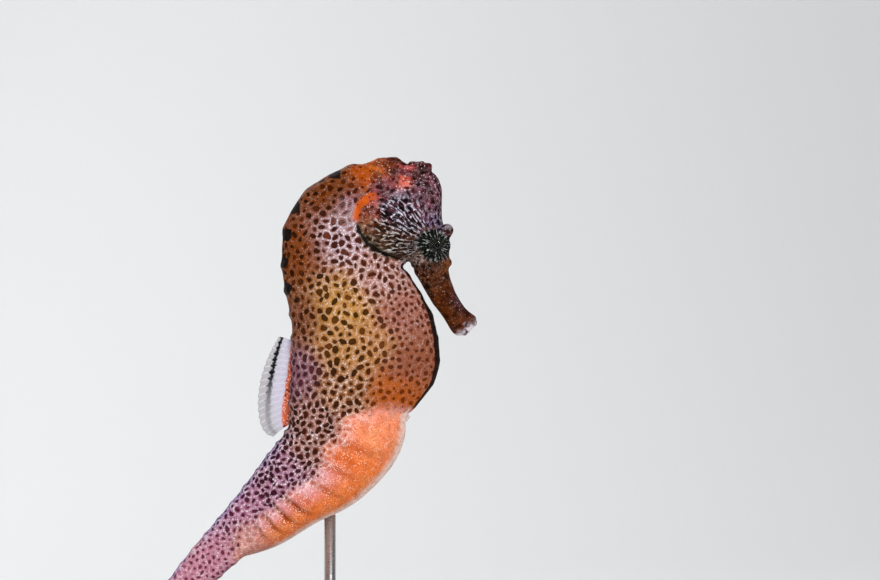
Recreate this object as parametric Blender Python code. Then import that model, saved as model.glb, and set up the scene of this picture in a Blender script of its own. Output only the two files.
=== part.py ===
"""A life-size male longsnout seahorse (Hippocampus reidi) with a full brood pouch, on a plain display stand.

Metres, +Z up. The animal faces +X and its median plane is Y = 0, so its right side faces -Y. The origin is
the middle of the stand's foot, on the table. The bony rings show as low welts round the trunk and the tail.
Stations are in millimetres from ANIMAL_AT, a point below the belly, and become metres when they are read."""

import math

import bmesh
import bpy
import numpy as np
from mathutils import Matrix, Vector

MM = 0.001
GAP = 0.3 * MM  # between neighbouring solids
ANIMAL_AT = np.array((3.0, 38.5)) * MM  # x and z of the point that the stations are measured from

# Trunk stations, nape to tail root: x, z, facing of the back in degrees, half depth, half width, keel, crown.
# keel and crown narrow the belly edge and the back edge of the cross-section.
TRUNK = (
    (11.5, 70.8, 98, 8.6, 4.5, 0.1, 0.30),
    (9.3, 70.0, 112, 9.5, 5.2, 0.1, 0.30),
    (7.0, 68.4, 130, 10.4, 5.8, 0.2, 0.30),
    (5.5, 66.6, 146, 11.2, 6.4, 0.3, 0.28),
    (4.4, 63.6, 161, 11.8, 7.0, 0.4, 0.26),
    (4.7, 60.2, 173, 12.2, 7.5, 0.5, 0.24),
    (6.5, 54.8, 179, 13.3, 8.0, 0.55, 0.22),
    (8.2, 49.0, 180, 13.8, 8.3, 0.55, 0.20),
    (8.7, 43.7, 180, 14.2, 8.3, 0.55, 0.20),
    (8.2, 38.0, 180, 13.9, 7.9, 0.5, 0.20),
    (6.2, 33.3, 178, 12.2, 7.2, 0.4, 0.20),
    (2.9, 28.0, 169, 9.1, 6.3, 0.2, 0.15),
    (-1.5, 22.9, 152, 7.5, 5.7, 0.1, 0.1),
    (-6.2, 18.5, 137, 6.5, 5.2, 0.0, 0.1),
)
TRUNK_RINGS = 11
TRUNK_SQUARENESS = 2.3  # exponent of the cross-section: 2 is an ellipse, more is squarer
VENT = 49.0 * MM  # how far down the spine the last trunk ring ends and the first tail ring starts
NECK_END, CHEST_END = 12.0 * MM, 34.0 * MM  # how far down the spine the neck and the chest end

TAIL_LENGTH = 83.0 * MM
TAIL_RINGS = 35
TAIL_LAST_RING = 0.25  # length of the last ring over that of the first
TAIL_SQUARENESS = 3.0
TAIL_HEADING = math.radians(224)  # the way that the tail leaves the trunk
TAIL_SWEEP = 1.0  # bend of the upper tail, radians per metre
TAIL_CURL = 270.0  # more bend at the tip
TAIL_CURL_FROM = 17.0 * MM
TAIL_CURL_POWER = 1.3
TAIL_TIP = 0.45 * MM
TAIL_TAPER, TAIL_TAPER_POWER = 4.8 * MM, 1.15
TAIL_ROOT_FADE = 9.0 * MM  # how far down the tail the trunk's depth and width die away
TAIL_TURN_FADE = 5.0 * MM  # how far down the tail the trunk's tilt dies away
TAIL_WIDTH_SHARE = 0.84  # the tail's width over its depth
TAIL_NODES = 6

# Head stations, back of the head to the lips: x, z, facing of the crown, half depth, half width, throat and
# crown. throat and crown narrow the lower and the upper edge of the cross-section.
HEAD = (
    (7.4, 71.7, 95, 6.3, 3.6, 0.1, 0.45),
    (10.2, 71.2, 92, 8.7, 5.2, 0.2, 0.45),
    (13.7, 70.9, 91, 9.3, 5.8, 0.25, 0.5),
    (16.4, 69.9, 87, 9.3, 5.7, 0.25, 0.5),
    (18.9, 69.1, 79, 9.0, 5.2, 0.25, 0.5),
    (19.8, 68.1, 73, 8.8, 5.1, 0.22, 0.48),
    (20.3, 66.7, 68, 7.8, 4.9, 0.2, 0.45),
    (20.5, 64.1, 60, 5.4, 4.4, 0.1, 0.35),
    (21.2, 61.5, 42, 4.5, 3.7, 0.0, 0.25),
    (21.5, 59.0, 28, 3.4, 2.9, 0.0, 0.1),
    (22.1, 56.8, 26, 2.8, 2.3, 0.0, 0.0),
    (23.4, 54.0, 29, 2.5, 2.05, 0.0, 0.0),
    (25.2, 51.2, 31, 2.3, 1.9, 0.0, 0.0),
    (26.6, 49.4, 31, 2.6, 2.0, 0.0, 0.0),
    (27.8, 48.2, 38, 2.5, 1.9, 0.0, 0.0),
    (28.7, 47.5, 46, 1.75, 1.4, 0.0, 0.0),
)
HEAD_SQUARENESS = 2.2
SNOUT_FROM = 24.3 * MM  # how far along the head the snout begins

# Brood pouch stations, vent to the end of the pouch: x, z, facing of the inner side, half depth, half width.
POUCH = (
    (10.5, 33.0, 166, 5.9, 4.6),
    (9.9, 30.2, 166, 6.7, 6.2),
    (8.4, 26.8, 164, 7.4, 7.2),
    (5.9, 23.4, 161, 7.8, 7.6),
    (2.7, 20.0, 156, 7.6, 7.4),
    (-1.2, 16.6, 151, 6.8, 6.8),
    (-5.4, 14.0, 146, 5.8, 6.0),
    (-9.3, 10.8, 138, 4.8, 5.1),
    (-12.9, 8.0, 130, 3.4, 4.1),
    (-15.6, 6.0, 126, 2.0, 2.6),
)
POUCH_SQUARENESS = 2.1

THROAT_AT, THROAT_TILT = (13.9, 61.7), math.radians(-30)  # the swelling where neck, chest and gills meet
THROAT_RADII = (2.9 * MM, 3.4 * MM, 1.9 * MM)
EYE_AT, EYE_Y, EYE_RADIUS = (22.3, 63.5), 3.15 * MM, 2.0 * MM
ORBIT_Y, ORBIT_RADIUS = 2.5 * MM, 2.5 * MM
EYE_SPINE_ROOT, EYE_SPINE_TIP = (23.2, 65.0, 2.2), (25.5, 67.4, 3.0)  # over each eye: x, z and side
NOSE_SPINE_ROOT, NOSE_SPINE_TIP = (23.4, 60.0, 0.0), (25.1, 60.9, 0.0)
SPINE_RADIUS, SPINE_TIP_SHARE = 1.4 * MM, 0.6

MOUTH_AT, MOUTH_TILT = (29.6, 47.7), math.radians(-40)
MOUTH_RADII = np.array((1.5, 0.9, 0.55)) * MM

GILL_AT, GILL_Y, GILL_TILT = (12.7, 67.7), 3.9 * MM, math.radians(-28)
GILL_RADII = np.array((6.3, 2.9, 5.4)) * MM

CORONET_AT, CORONET_TILT = (18.6, 78.4), math.radians(12)  # its middle, and how far it leans forward
CORONET_RADII, CORONET_RISE, CORONET_ROOT = (2.6 * MM, 2.5 * MM), 1.6 * MM, 1.6 * MM
CORONET_WAIST, CORONET_DISH = 0.84, 0.5 * MM  # share of the radii at the root, and depth of the hollow top
CORONET_POINTS, CORONET_LOBE, CORONET_WAVE = 5, 0.1, 0.3 * MM

DORSAL_ROOT_TOP, DORSAL_ROOT_END = (-5.0, 45.4), (-5.4, 29.8)
DORSAL_RAYS = 17
DORSAL_FIRST, DORSAL_LAST = 3.1 * MM, 4.4 * MM  # length of the first and the last ray
DORSAL_SWELL = 3.1 * MM  # how much longer the middle rays are
DORSAL_SWELL_RUN, DORSAL_CORNER_POWER = 1.3, 14  # root to half a wave of the swell, and its sharp lower end
DORSAL_LEAN, DORSAL_SPREAD = math.radians(158), math.radians(56)
PECTORAL_ROOT_TOP, PECTORAL_ROOT_END = (6.9, 71.4), (6.3, 67.4)
PECTORAL_RAYS, PECTORAL_LENGTH, PECTORAL_Y = 16, 4.2 * MM, 6.3 * MM
PECTORAL_END_SHARE = 0.7  # length of the first and the last ray over that of the middle ones
PECTORAL_LEAN, PECTORAL_SPREAD, PECTORAL_FLARE = math.radians(150), math.radians(62), math.radians(16)
ANAL_ROOT_TOP, ANAL_ROOT_END = (16.4, 32.0), (16.1, 30.8)
ANAL_RAYS, ANAL_LENGTH, ANAL_TAPER = 4, 1.6 * MM, 0.3
ANAL_LEAN, ANAL_SPREAD = math.radians(-25), math.radians(-25)
FIN_THICKNESS = 0.6 * MM
FIN_NOTCH = 0.05  # how deep the edge falls back between two rays, as a share of a ray

BASE_RADIUS, BASE_HEIGHT, BASE_BEVEL = 33.2 * MM, 7.0 * MM, 1.2 * MM
BASE_BEVEL_STEPS, BASE_BEVEL_ANGLE = 2, math.radians(60)
ROD_AT, ROD_RADIUS = 4.9 * MM, 1.1 * MM
ROD_TOP = 53.0 * MM  # inside the pouch, which then cuts the rod to fit
ROD_FOOT_RADIUS, ROD_FOOT_HEIGHT, ROD_FOOT_RIM = 4.0 * MM, 1.4 * MM, 0.6 * MM

TRUNK_SIDES, TAIL_SIDES, HEAD_SIDES, POUCH_SIDES, ROUND_SIDES, BASE_SIDES = 24, 12, 20, 20, 16, 48
ROUND_RINGS, SPINE_SIDES, CORONET_SIDES = 10, 8, 4 * CORONET_POINTS
NECK_STEPS, RING_STEPS = 4, 2  # cross-sections to a bony ring
LEAST_STEP = 0.2  # least share of a step between a cut end and the next cross-section
HEAD_STEPS, SNOUT_STEPS, POUCH_STEPS = 15, 10, 15
TAIL_CUTTER_LENGTH = 40.0 * MM  # reaches past the end of the pouch
TRACK_SAMPLES = 800
PINCH_POWER = 3  # how closely keel and crown keep to the edges of a cross-section
SHARP_ANGLE = math.radians(40)
TRUNK_WELT, TAIL_WELT = 0.010, 0.04  # how far a bony ring stands out, as a share of the half depth

COLOURS = {  # base colour, roughness, metallic
    "tan": ((0.50, 0.24, 0.11), 0.45, 0.0),
    "rust": ((0.36, 0.09, 0.04), 0.45, 0.0),
    "plum": ((0.30, 0.12, 0.13), 0.45, 0.0),
    "orange": ((0.85, 0.27, 0.08), 0.45, 0.0),
    "snout_brown": ((0.20, 0.07, 0.04), 0.45, 0.0),
    "fin_white": ((0.80, 0.80, 0.82), 0.35, 0.0),
    "eye_black": ((0.03, 0.03, 0.03), 0.08, 0.0),
    "base_wood": ((0.16, 0.09, 0.05), 0.40, 0.0),
    "rod_steel": ((0.60, 0.60, 0.62), 0.25, 1.0),
}


# ---------------------------------------------------------------- small tools


def clear_scene():
    for thing in list(bpy.data.objects):
        bpy.data.objects.remove(thing)


def material(name):
    """The named Principled material, made on first use."""
    found = bpy.data.materials.get(name)
    if found is None:
        colour, roughness, metallic = COLOURS[name]
        found = bpy.data.materials.new(name)
        found.use_nodes = True
        shader = found.node_tree.nodes["Principled BSDF"]
        shader.inputs["Base Color"].default_value = (*colour, 1.0)
        shader.inputs["Roughness"].default_value = roughness
        shader.inputs["Metallic"].default_value = metallic
    return found


def place(x, z, y=0.0):
    """A point of the animal, from its x and z in millimetres and its side in metres."""
    return Vector((x * MM + ANIMAL_AT[0], y, z * MM + ANIMAL_AT[1]))


def add_object(name, mesh_data, colour):
    mesh = bpy.data.meshes.new(name)
    mesh_data.to_mesh(mesh)
    mesh_data.free()
    mesh.shade_smooth()
    mesh.set_sharp_from_angle(angle=SHARP_ANGLE)
    thing = bpy.data.objects.new(name, mesh)
    thing.data.materials.append(material(colour))
    bpy.context.scene.collection.objects.link(thing)
    return thing


def helper(thing):
    """Marks a shape that only cuts or joins others."""
    thing.hide_render = True
    thing.display_type = "WIRE"
    return thing


def combine(thing, operation, others):
    for other in others:
        modifier = thing.modifiers.new(f"{operation} {other.name}", "BOOLEAN")
        modifier.operation = operation
        modifier.solver = "EXACT"
        modifier.object = other


def cut(thing, *cutters):
    combine(thing, "DIFFERENCE", cutters)


def join(thing, *others):
    combine(thing, "UNION", others)


def natural_spline(knots, values, wanted):
    """A natural cubic spline through values at knots, read at wanted. values has one row for each knot."""
    count = len(knots)
    step = np.diff(knots)
    slope = np.diff(values, axis=0) / step[:, None]
    system = np.eye(count)
    right = np.zeros_like(values)
    for i in range(1, count - 1):
        system[i, i - 1 : i + 2] = step[i - 1], 2 * (step[i - 1] + step[i]), step[i]
        right[i] = 6 * (slope[i] - slope[i - 1])
    bend = np.linalg.solve(system, right)
    i = np.clip(np.searchsorted(knots, wanted) - 1, 0, count - 2)
    t, h = (wanted - knots[i])[:, None], step[i][:, None]
    linear = slope[i] - h * (2 * bend[i] + bend[i + 1]) / 6
    return values[i] + t * (linear + t * (bend[i] / 2 + t * (bend[i + 1] - bend[i]) / (6 * h)))


# ---------------------------------------------------------------- tracks: centre lines with cross-sections


def track_through(stations, samples=TRACK_SAMPLES):
    """A smooth track through stations: rows of x, z, facing, half depth, half width and more, in metres."""
    table = np.array(stations, float)
    table[:, :2] = table[:, :2] * MM + ANIMAL_AT
    table[:, 2] = np.radians(table[:, 2])
    table[:, 3:5] *= MM
    chord = np.r_[0, np.cumsum(np.linalg.norm(np.diff(table[:, :2], axis=0), axis=1))]
    fine = natural_spline(chord, table, np.linspace(0, chord[-1], samples))
    along = np.r_[0, np.cumsum(np.linalg.norm(np.diff(fine[:, :2], axis=0), axis=1))]
    return along, fine


def tail_track(start, samples=TRACK_SAMPLES):
    """The tail: a nearly straight run that then curls to the belly side, ever tighter."""
    along = np.linspace(0, TAIL_LENGTH, samples)
    share = along / TAIL_LENGTH
    curled = np.clip((along - TAIL_CURL_FROM) / (TAIL_LENGTH - TAIL_CURL_FROM), 0, None)
    bend = TAIL_SWEEP + TAIL_CURL * curled**TAIL_CURL_POWER
    step = along[1]
    heading = TAIL_HEADING + np.r_[0, np.cumsum((bend[1:] + bend[:-1]) / 2 * step)]
    middle = (heading[1:] + heading[:-1]) / 2
    x = start[0] + np.r_[0, np.cumsum(np.cos(middle) * step)]
    z = start[1] + np.r_[0, np.cumsum(np.sin(middle) * step)]
    fade = np.exp(-along / TAIL_ROOT_FADE)
    depth = TAIL_TIP + TAIL_TAPER * (1 - share) ** TAIL_TAPER_POWER
    depth += (start[3] - TAIL_TIP - TAIL_TAPER) * fade
    width = depth * (TAIL_WIDTH_SHARE + (start[4] / start[3] - TAIL_WIDTH_SHARE) * fade)
    facing = heading - math.pi / 2
    facing += (start[2] - facing[0]) * np.exp(-along / TAIL_TURN_FADE)
    zeros = np.zeros(samples)
    return along, np.column_stack((x, z, facing, depth, width, zeros, zeros + start[6]))


def section(sides, depth, width, squareness, belly_pinch, back_pinch):
    """A closed cross-section: u towards the back and v towards the animal's right side, as two arrays."""
    angle = np.arange(sides) * 2 * math.pi / sides
    c, s = np.cos(angle), np.sin(angle)
    power = 2 / squareness
    u = depth * np.sign(c) * np.abs(c) ** power
    v = width * np.sign(s) * np.abs(s) ** power
    v = v * (1 - belly_pinch * ((1 - c) / 2) ** PINCH_POWER - back_pinch * ((1 + c) / 2) ** PINCH_POWER)
    return u, v


def ring_of(row, sides, squareness, swell=0.0, grow=0.0):
    """The cross-section of a track's row, as points. swell scales it and grow widens it by a distance."""
    x, z, facing, depth, width = row[:5]
    pinches = row[5:7] if len(row) > 6 else (0.0, 0.0)
    depth, width = depth * (1 + swell) + grow, width * (1 + swell) + grow
    u, v = section(sides, depth, width, squareness, *pinches)
    return [Vector((x + a * math.cos(facing), -b, z + a * math.sin(facing))) for a, b in zip(u, v)]


def loft(name, rings, colour):
    """A closed solid through rings of equally many points, with flat ends."""
    shape = bmesh.new()
    rows = [[shape.verts.new(point) for point in ring] for ring in rings]
    sides = len(rings[0])
    for low, high in zip(rows, rows[1:]):
        for i in range(sides):
            j = (i + 1) % sides
            shape.faces.new((low[i], low[j], high[j], high[i]))
    shape.faces.new(reversed(rows[0]))
    shape.faces.new(rows[-1])
    bmesh.ops.recalc_face_normals(shape, faces=shape.faces)
    return add_object(name, shape, colour)


def rows_at(track, places):
    along, table = track
    return np.column_stack([np.interp(places, along, table[:, i]) for i in range(table.shape[1])])


# ---------------------------------------------------------------- the ringed body


def whole_body():
    """Trunk and tail as one track, with how far along it the trunk ends."""
    trunk_along, trunk = track_through(TRUNK)
    tail_along, tail = tail_track(trunk[-1])
    along = np.r_[trunk_along, trunk_along[-1] + tail_along[1:]]
    return (along, np.vstack((trunk, tail[1:]))), trunk_along[-1]


def ring_edges(body_length):
    """Places of the grooves between bony rings: even on the trunk, ever closer along the tail."""
    spacing = np.linspace(1.0, TAIL_LAST_RING, TAIL_RINGS)
    tail = VENT + np.cumsum(spacing) * (body_length - VENT) / spacing.sum()
    return np.r_[np.linspace(0, VENT, TRUNK_RINGS + 1), tail]


def body_solid(name, start, end, per_ring, sides, colour, grow=0.0):
    """One length of the body, each bony ring a low welt with per_ring cross-sections along it."""
    body, trunk_end = whole_body()
    edges = ring_edges(body[0][-1])
    phase = np.interp(body[0], edges, np.arange(len(edges)))
    first, last = np.interp((start, end), body[0], phase)
    low, high = first * per_ring + LEAST_STEP, last * per_ring - LEAST_STEP
    inner = np.arange(math.ceil(low), math.floor(high) + 1) / per_ring
    phases = np.r_[first, inner, last]
    places = np.interp(phases, phase, body[0])
    tailness = np.clip((places - VENT) / (trunk_end - VENT), 0, 1)
    squareness = TRUNK_SQUARENESS + tailness * (TAIL_SQUARENESS - TRUNK_SQUARENESS)
    swell = -(TRUNK_WELT + tailness * (TAIL_WELT - TRUNK_WELT)) * np.cos(2 * math.pi * phases)
    rows = rows_at(body, places)
    rings = [ring_of(row, sides, n, w, grow) for row, n, w in zip(rows, squareness, swell)]
    return loft(name, rings, colour)


def make_body():
    """Neck, trunk and tail lengths, and the grown copies of them that trim what lies against them."""
    body, trunk_end = whole_body()
    body_end = body[0][-1]
    half = GAP / 2
    neck = body_solid("neck", 0.0, NECK_END - half, NECK_STEPS, TRUNK_SIDES, "rust")
    join(neck, helper(ellipsoid("throat", place(*THROAT_AT), THROAT_RADII, "rust", THROAT_TILT)))
    chest = body_solid("trunk_chest", NECK_END + half, CHEST_END - half, RING_STEPS, TRUNK_SIDES, "tan")
    cut(chest, helper(ellipsoid("throat_grown", place(*THROAT_AT), THROAT_RADII, "rust", THROAT_TILT, GAP)))
    body_solid("trunk_belly", CHEST_END + half, trunk_end - half, RING_STEPS, TRUNK_SIDES, "tan")
    joints = trunk_end + np.linspace(0, 1, TAIL_NODES + 1) * (body_end - trunk_end)
    for i, (start, end) in enumerate(zip(joints, joints[1:])):
        inset = 0.0 if end == body_end else half
        body_solid(f"tail_{i + 1}", start + half, end - inset, RING_STEPS, TAIL_SIDES, "plum")
    trunk_cutter = body_solid("trunk_grown", 0.0, trunk_end + GAP, RING_STEPS, TRUNK_SIDES, "tan", GAP)
    past_pouch = trunk_end + TAIL_CUTTER_LENGTH
    tail_cutter = body_solid("tail_grown", trunk_end - GAP, past_pouch, RING_STEPS, TAIL_SIDES, "plum", GAP)
    return neck, chest, helper(trunk_cutter), helper(tail_cutter)


# ---------------------------------------------------------------- the head


def ellipsoid(name, centre, radii, colour, tilt=0.0, grow=0.0):
    shape = bmesh.new()
    bmesh.ops.create_uvsphere(shape, u_segments=ROUND_SIDES, v_segments=ROUND_RINGS, radius=1.0)
    size = Matrix.Diagonal((*(r + grow for r in radii), 1.0))
    turn = Matrix.Rotation(-tilt, 4, "Y")
    bmesh.ops.transform(shape, matrix=Matrix.Translation(centre) @ turn @ size, verts=shape.verts)
    return add_object(name, shape, colour)


def spine(name, root, tip):
    """A blunt thorn from root to tip, each x and z with its side in millimetres."""
    low, high = (place(x, z, y * MM) for x, z, y in (root, tip))
    shape = bmesh.new()
    length = (high - low).length
    end = SPINE_TIP_SHARE * SPINE_RADIUS
    bmesh.ops.create_cone(
        shape, cap_ends=True, segments=SPINE_SIDES, radius1=SPINE_RADIUS, radius2=end, depth=length
    )
    turn = (high - low).to_track_quat("Z", "Y").to_matrix().to_4x4()
    bmesh.ops.transform(shape, matrix=Matrix.Translation((low + high) / 2) @ turn, verts=shape.verts)
    return helper(add_object(name, shape, "rust"))


def head_solid(name, start, end, steps, colour, grow=0.0):
    """A length of the head between two places along it, the whole of it when end is None."""
    along, table = track_through(HEAD)
    places = np.linspace(start, along[-1] if end is None else end, steps)
    rings = [ring_of(row, HEAD_SIDES, HEAD_SQUARENESS, 0.0, grow) for row in rows_at((along, table), places)]
    return loft(name, rings, colour)


def make_coronet(head_cutter):
    """A low crown with five blunt points and a dished top, like crumpled paper."""
    angle = np.arange(CORONET_SIDES) * 2 * math.pi / CORONET_SIDES
    lobe = np.cos(CORONET_POINTS * angle)
    lean = Matrix.Translation(place(*CORONET_AT)) @ Matrix.Rotation(CORONET_TILT, 4, "Y")
    levels = ((-CORONET_ROOT, CORONET_WAIST, 0), (0.0, CORONET_WAIST, 0), (CORONET_RISE, 1, 1))
    rings = []
    for height, share, crumple in levels:
        reach = share * (1 + crumple * CORONET_LOBE * lobe)
        x = CORONET_RADII[0] * reach * np.cos(angle)
        y = CORONET_RADII[1] * reach * np.sin(angle)
        z = height + crumple * CORONET_WAVE * lobe
        rings.append([lean @ Vector(point) for point in zip(x, y, z)])
    coronet = loft("coronet", rings, "rust")
    shape = bmesh.new()
    shape.from_mesh(coronet.data)
    shape.faces.ensure_lookup_table()
    poke = bmesh.ops.poke(shape, faces=[shape.faces[-1]])
    poke["verts"][0].co = lean @ Vector((0, 0, CORONET_RISE - CORONET_DISH))
    shape.to_mesh(coronet.data)
    shape.free()
    cut(coronet, head_cutter)


def make_head():
    """Head, snout, coronet, eyes and gill covers. Gives the grown copies that trim what lies behind them."""
    head = head_solid("head", 0.0, SNOUT_FROM - GAP / 2, HEAD_STEPS, "rust")
    snout = head_solid("snout", SNOUT_FROM + GAP / 2, None, SNOUT_STEPS, "snout_brown")
    head_cutter = helper(head_solid("head_grown", 0.0, None, HEAD_STEPS + SNOUT_STEPS, "rust", GAP))
    mouth = ellipsoid("mouth_cut", place(*MOUTH_AT), MOUTH_RADII, "snout_brown", MOUTH_TILT)
    cut(snout, helper(mouth))
    join(head, spine("nose_spine", NOSE_SPINE_ROOT, NOSE_SPINE_TIP))
    gill_cutters = []
    for side, sign in (("right", -1), ("left", 1)):
        orbit = helper(ellipsoid(f"orbit_{side}", place(*EYE_AT, sign * ORBIT_Y), [ORBIT_RADIUS] * 3, "rust"))
        root, tip = ((x, z, sign * y) for x, z, y in (EYE_SPINE_ROOT, EYE_SPINE_TIP))
        join(head, orbit, spine(f"eye_spine_{side}", root, tip))
    for side, sign in (("right", -1), ("left", 1)):
        centre = place(*EYE_AT, sign * EYE_Y)
        ellipsoid(f"eye_{side}", centre, [EYE_RADIUS] * 3, "eye_black")
        cut(head, helper(ellipsoid(f"socket_{side}", centre, [EYE_RADIUS] * 3, "eye_black", grow=GAP)))
        centre = place(*GILL_AT, sign * GILL_Y)
        cut(ellipsoid(f"gill_cover_{side}", centre, GILL_RADII, "rust", GILL_TILT), head_cutter)
        grown = ellipsoid(f"gill_grown_{side}", centre, GILL_RADII, "rust", GILL_TILT, GAP)
        gill_cutters.append(helper(grown))
    make_coronet(head_cutter)
    return head_cutter, gill_cutters


# ---------------------------------------------------------------- pouch, fins and stand


def pouch_solid(name, grow):
    along, table = track_through(POUCH)
    rows = rows_at((along, table), np.linspace(0, along[-1], POUCH_STEPS))
    return loft(name, [ring_of(row, POUCH_SIDES, POUCH_SQUARENESS, 0.0, grow) for row in rows], "orange")


def make_pouch(trunk_cutter, tail_cutter):
    """The brood pouch below the vent. Gives its grown copy, which trims what lies against it."""
    cut(pouch_solid("brood_pouch", 0.0), trunk_cutter, tail_cutter)
    return helper(pouch_solid("pouch_grown", GAP))


def fin(name, top, end, rays, length_at, lean, spread):
    """A fin with its root from top to end and its edge scalloped between the rays, as one thin plate."""
    root_top, root_end = place(*top), place(*end)
    root, edge = [], []
    for i in range(2 * rays - 1):
        share = i / (2 * rays - 2)
        foot = root_top.lerp(root_end, share)
        reach = length_at(share) * (1 if i % 2 == 0 else 1 - FIN_NOTCH)
        angle = lean + spread * share
        root.append(foot)
        edge.append(foot + reach * Vector((math.cos(angle), 0, math.sin(angle))))
    shape = bmesh.new()
    sheets = []
    for offset in (-FIN_THICKNESS / 2, FIN_THICKNESS / 2):
        shift = Vector((0, offset, 0))
        sheets.append([[shape.verts.new(p + shift) for p in line] for line in (root, edge)])
    (near_root, near_edge), (far_root, far_edge) = sheets
    for i in range(len(root) - 1):
        shape.faces.new((near_root[i], near_root[i + 1], near_edge[i + 1], near_edge[i]))
        shape.faces.new((far_root[i + 1], far_root[i], far_edge[i], far_edge[i + 1]))
        shape.faces.new((near_edge[i], near_edge[i + 1], far_edge[i + 1], far_edge[i]))
        shape.faces.new((near_root[i + 1], near_root[i], far_root[i], far_root[i + 1]))
    for i in (0, -1):
        shape.faces.new((near_root[i], near_edge[i], far_edge[i], far_root[i]))
    bmesh.ops.recalc_face_normals(shape, faces=shape.faces)
    return add_object(name, shape, "fin_white")


def dorsal_length(share):
    swell = DORSAL_SWELL * math.sin(math.pi * share / DORSAL_SWELL_RUN) * (1 - share**DORSAL_CORNER_POWER)
    return DORSAL_FIRST + (DORSAL_LAST - DORSAL_FIRST) * share + swell


def pectoral_length(share):
    return PECTORAL_LENGTH * (PECTORAL_END_SHARE + (1 - PECTORAL_END_SHARE) * math.sin(math.pi * share))


def anal_length(share):
    return ANAL_LENGTH * (1 - ANAL_TAPER * share)


def make_dorsal_fin(trunk_cutter):
    ends = DORSAL_ROOT_TOP, DORSAL_ROOT_END
    cut(fin("dorsal_fin", *ends, DORSAL_RAYS, dorsal_length, DORSAL_LEAN, DORSAL_SPREAD), trunk_cutter)


def make_pectoral_fins(cutters):
    """The two pectoral fins, each behind its gill cover and spread a little from the neck."""
    ends = PECTORAL_ROOT_TOP, PECTORAL_ROOT_END
    for side, sign in (("right", -1), ("left", 1)):
        name = f"pectoral_fin_{side}"
        plate = fin(name, *ends, PECTORAL_RAYS, pectoral_length, PECTORAL_LEAN, PECTORAL_SPREAD)
        hinge = (place(*PECTORAL_ROOT_TOP) + place(*PECTORAL_ROOT_END)) / 2
        turn = Matrix.Rotation(-sign * PECTORAL_FLARE, 4, "Z")
        out = Matrix.Translation(hinge + Vector((0, sign * PECTORAL_Y, 0)))
        plate.data.transform(out @ turn @ Matrix.Translation(-hinge))
        cut(plate, *cutters)


def make_anal_fin(cutters):
    ends = ANAL_ROOT_TOP, ANAL_ROOT_END
    cut(fin("anal_fin", *ends, ANAL_RAYS, anal_length, ANAL_LEAN, ANAL_SPREAD), *cutters)


def make_base():
    """The flat foot, a disc with a rounded rim."""
    shape = bmesh.new()
    bmesh.ops.create_cone(
        shape, cap_ends=True, segments=BASE_SIDES, radius1=BASE_RADIUS, radius2=BASE_RADIUS, depth=BASE_HEIGHT
    )
    bmesh.ops.translate(shape, vec=(0, 0, BASE_HEIGHT / 2), verts=shape.verts)
    base = add_object("stand_base", shape, "base_wood")
    bevel = base.modifiers.new("rounded rim", "BEVEL")
    bevel.width = BASE_BEVEL
    bevel.segments = BASE_BEVEL_STEPS
    bevel.angle_limit = BASE_BEVEL_ANGLE


def make_rod(pouch_cutter):
    """One rod with a small collar, which carries the animal under the pouch, near its centre of mass."""
    floor = BASE_HEIGHT + GAP
    collar = floor + ROD_FOOT_HEIGHT
    profile = (
        (ROD_FOOT_RADIUS, floor),
        (ROD_FOOT_RADIUS, collar - ROD_FOOT_RIM),
        (ROD_FOOT_RADIUS - ROD_FOOT_RIM, collar),
        (ROD_RADIUS, collar),
        (ROD_RADIUS, ROD_TOP),
    )
    turns = [2 * math.pi * i / ROUND_SIDES for i in range(ROUND_SIDES)]
    rings = [[Vector((ROD_AT + r * math.cos(a), r * math.sin(a), z)) for a in turns] for r, z in profile]
    cut(loft("stand_rod", rings, "rod_steel"), pouch_cutter)


def main():
    clear_scene()
    neck, chest, trunk_cutter, tail_cutter = make_body()
    head_cutter, gill_cutters = make_head()
    cut(neck, head_cutter, *gill_cutters)
    cut(chest, head_cutter, *gill_cutters)
    pouch_cutter = make_pouch(trunk_cutter, tail_cutter)
    make_dorsal_fin(trunk_cutter)
    make_pectoral_fins([trunk_cutter, head_cutter, *gill_cutters])
    make_anal_fin([trunk_cutter, pouch_cutter])
    make_base()
    make_rod(pouch_cutter)


main()
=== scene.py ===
"""Looks of a life-size male longsnout seahorse (Hippocampus reidi) on a plain display stand.

Places on the animal are x and z in millimetres from ANIMAL_AT, as in the solids. A station's facing is the
way its back or crown looks, in degrees. Angles round the body go from 0 at the back to 180 at the belly.
"""

import math

import bmesh
import bpy
import numpy as np
from mathutils import Matrix, Vector, noise
from mathutils.bvhtree import BVHTree
from mathutils.kdtree import KDTree


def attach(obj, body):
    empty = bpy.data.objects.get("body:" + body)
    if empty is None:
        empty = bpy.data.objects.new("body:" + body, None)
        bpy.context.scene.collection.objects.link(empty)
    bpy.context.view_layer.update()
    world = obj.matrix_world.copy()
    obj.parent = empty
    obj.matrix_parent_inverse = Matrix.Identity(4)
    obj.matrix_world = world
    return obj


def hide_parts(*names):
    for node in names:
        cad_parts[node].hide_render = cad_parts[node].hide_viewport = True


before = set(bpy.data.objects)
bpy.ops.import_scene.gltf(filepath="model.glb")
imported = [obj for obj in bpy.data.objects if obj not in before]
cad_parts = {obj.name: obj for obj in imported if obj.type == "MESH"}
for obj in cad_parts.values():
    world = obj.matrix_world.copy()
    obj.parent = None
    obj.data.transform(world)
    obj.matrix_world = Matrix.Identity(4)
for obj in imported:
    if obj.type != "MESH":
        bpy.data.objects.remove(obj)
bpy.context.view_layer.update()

MM = 0.001
ANIMAL_AT = np.array((3.0, 38.5)) * MM

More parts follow.
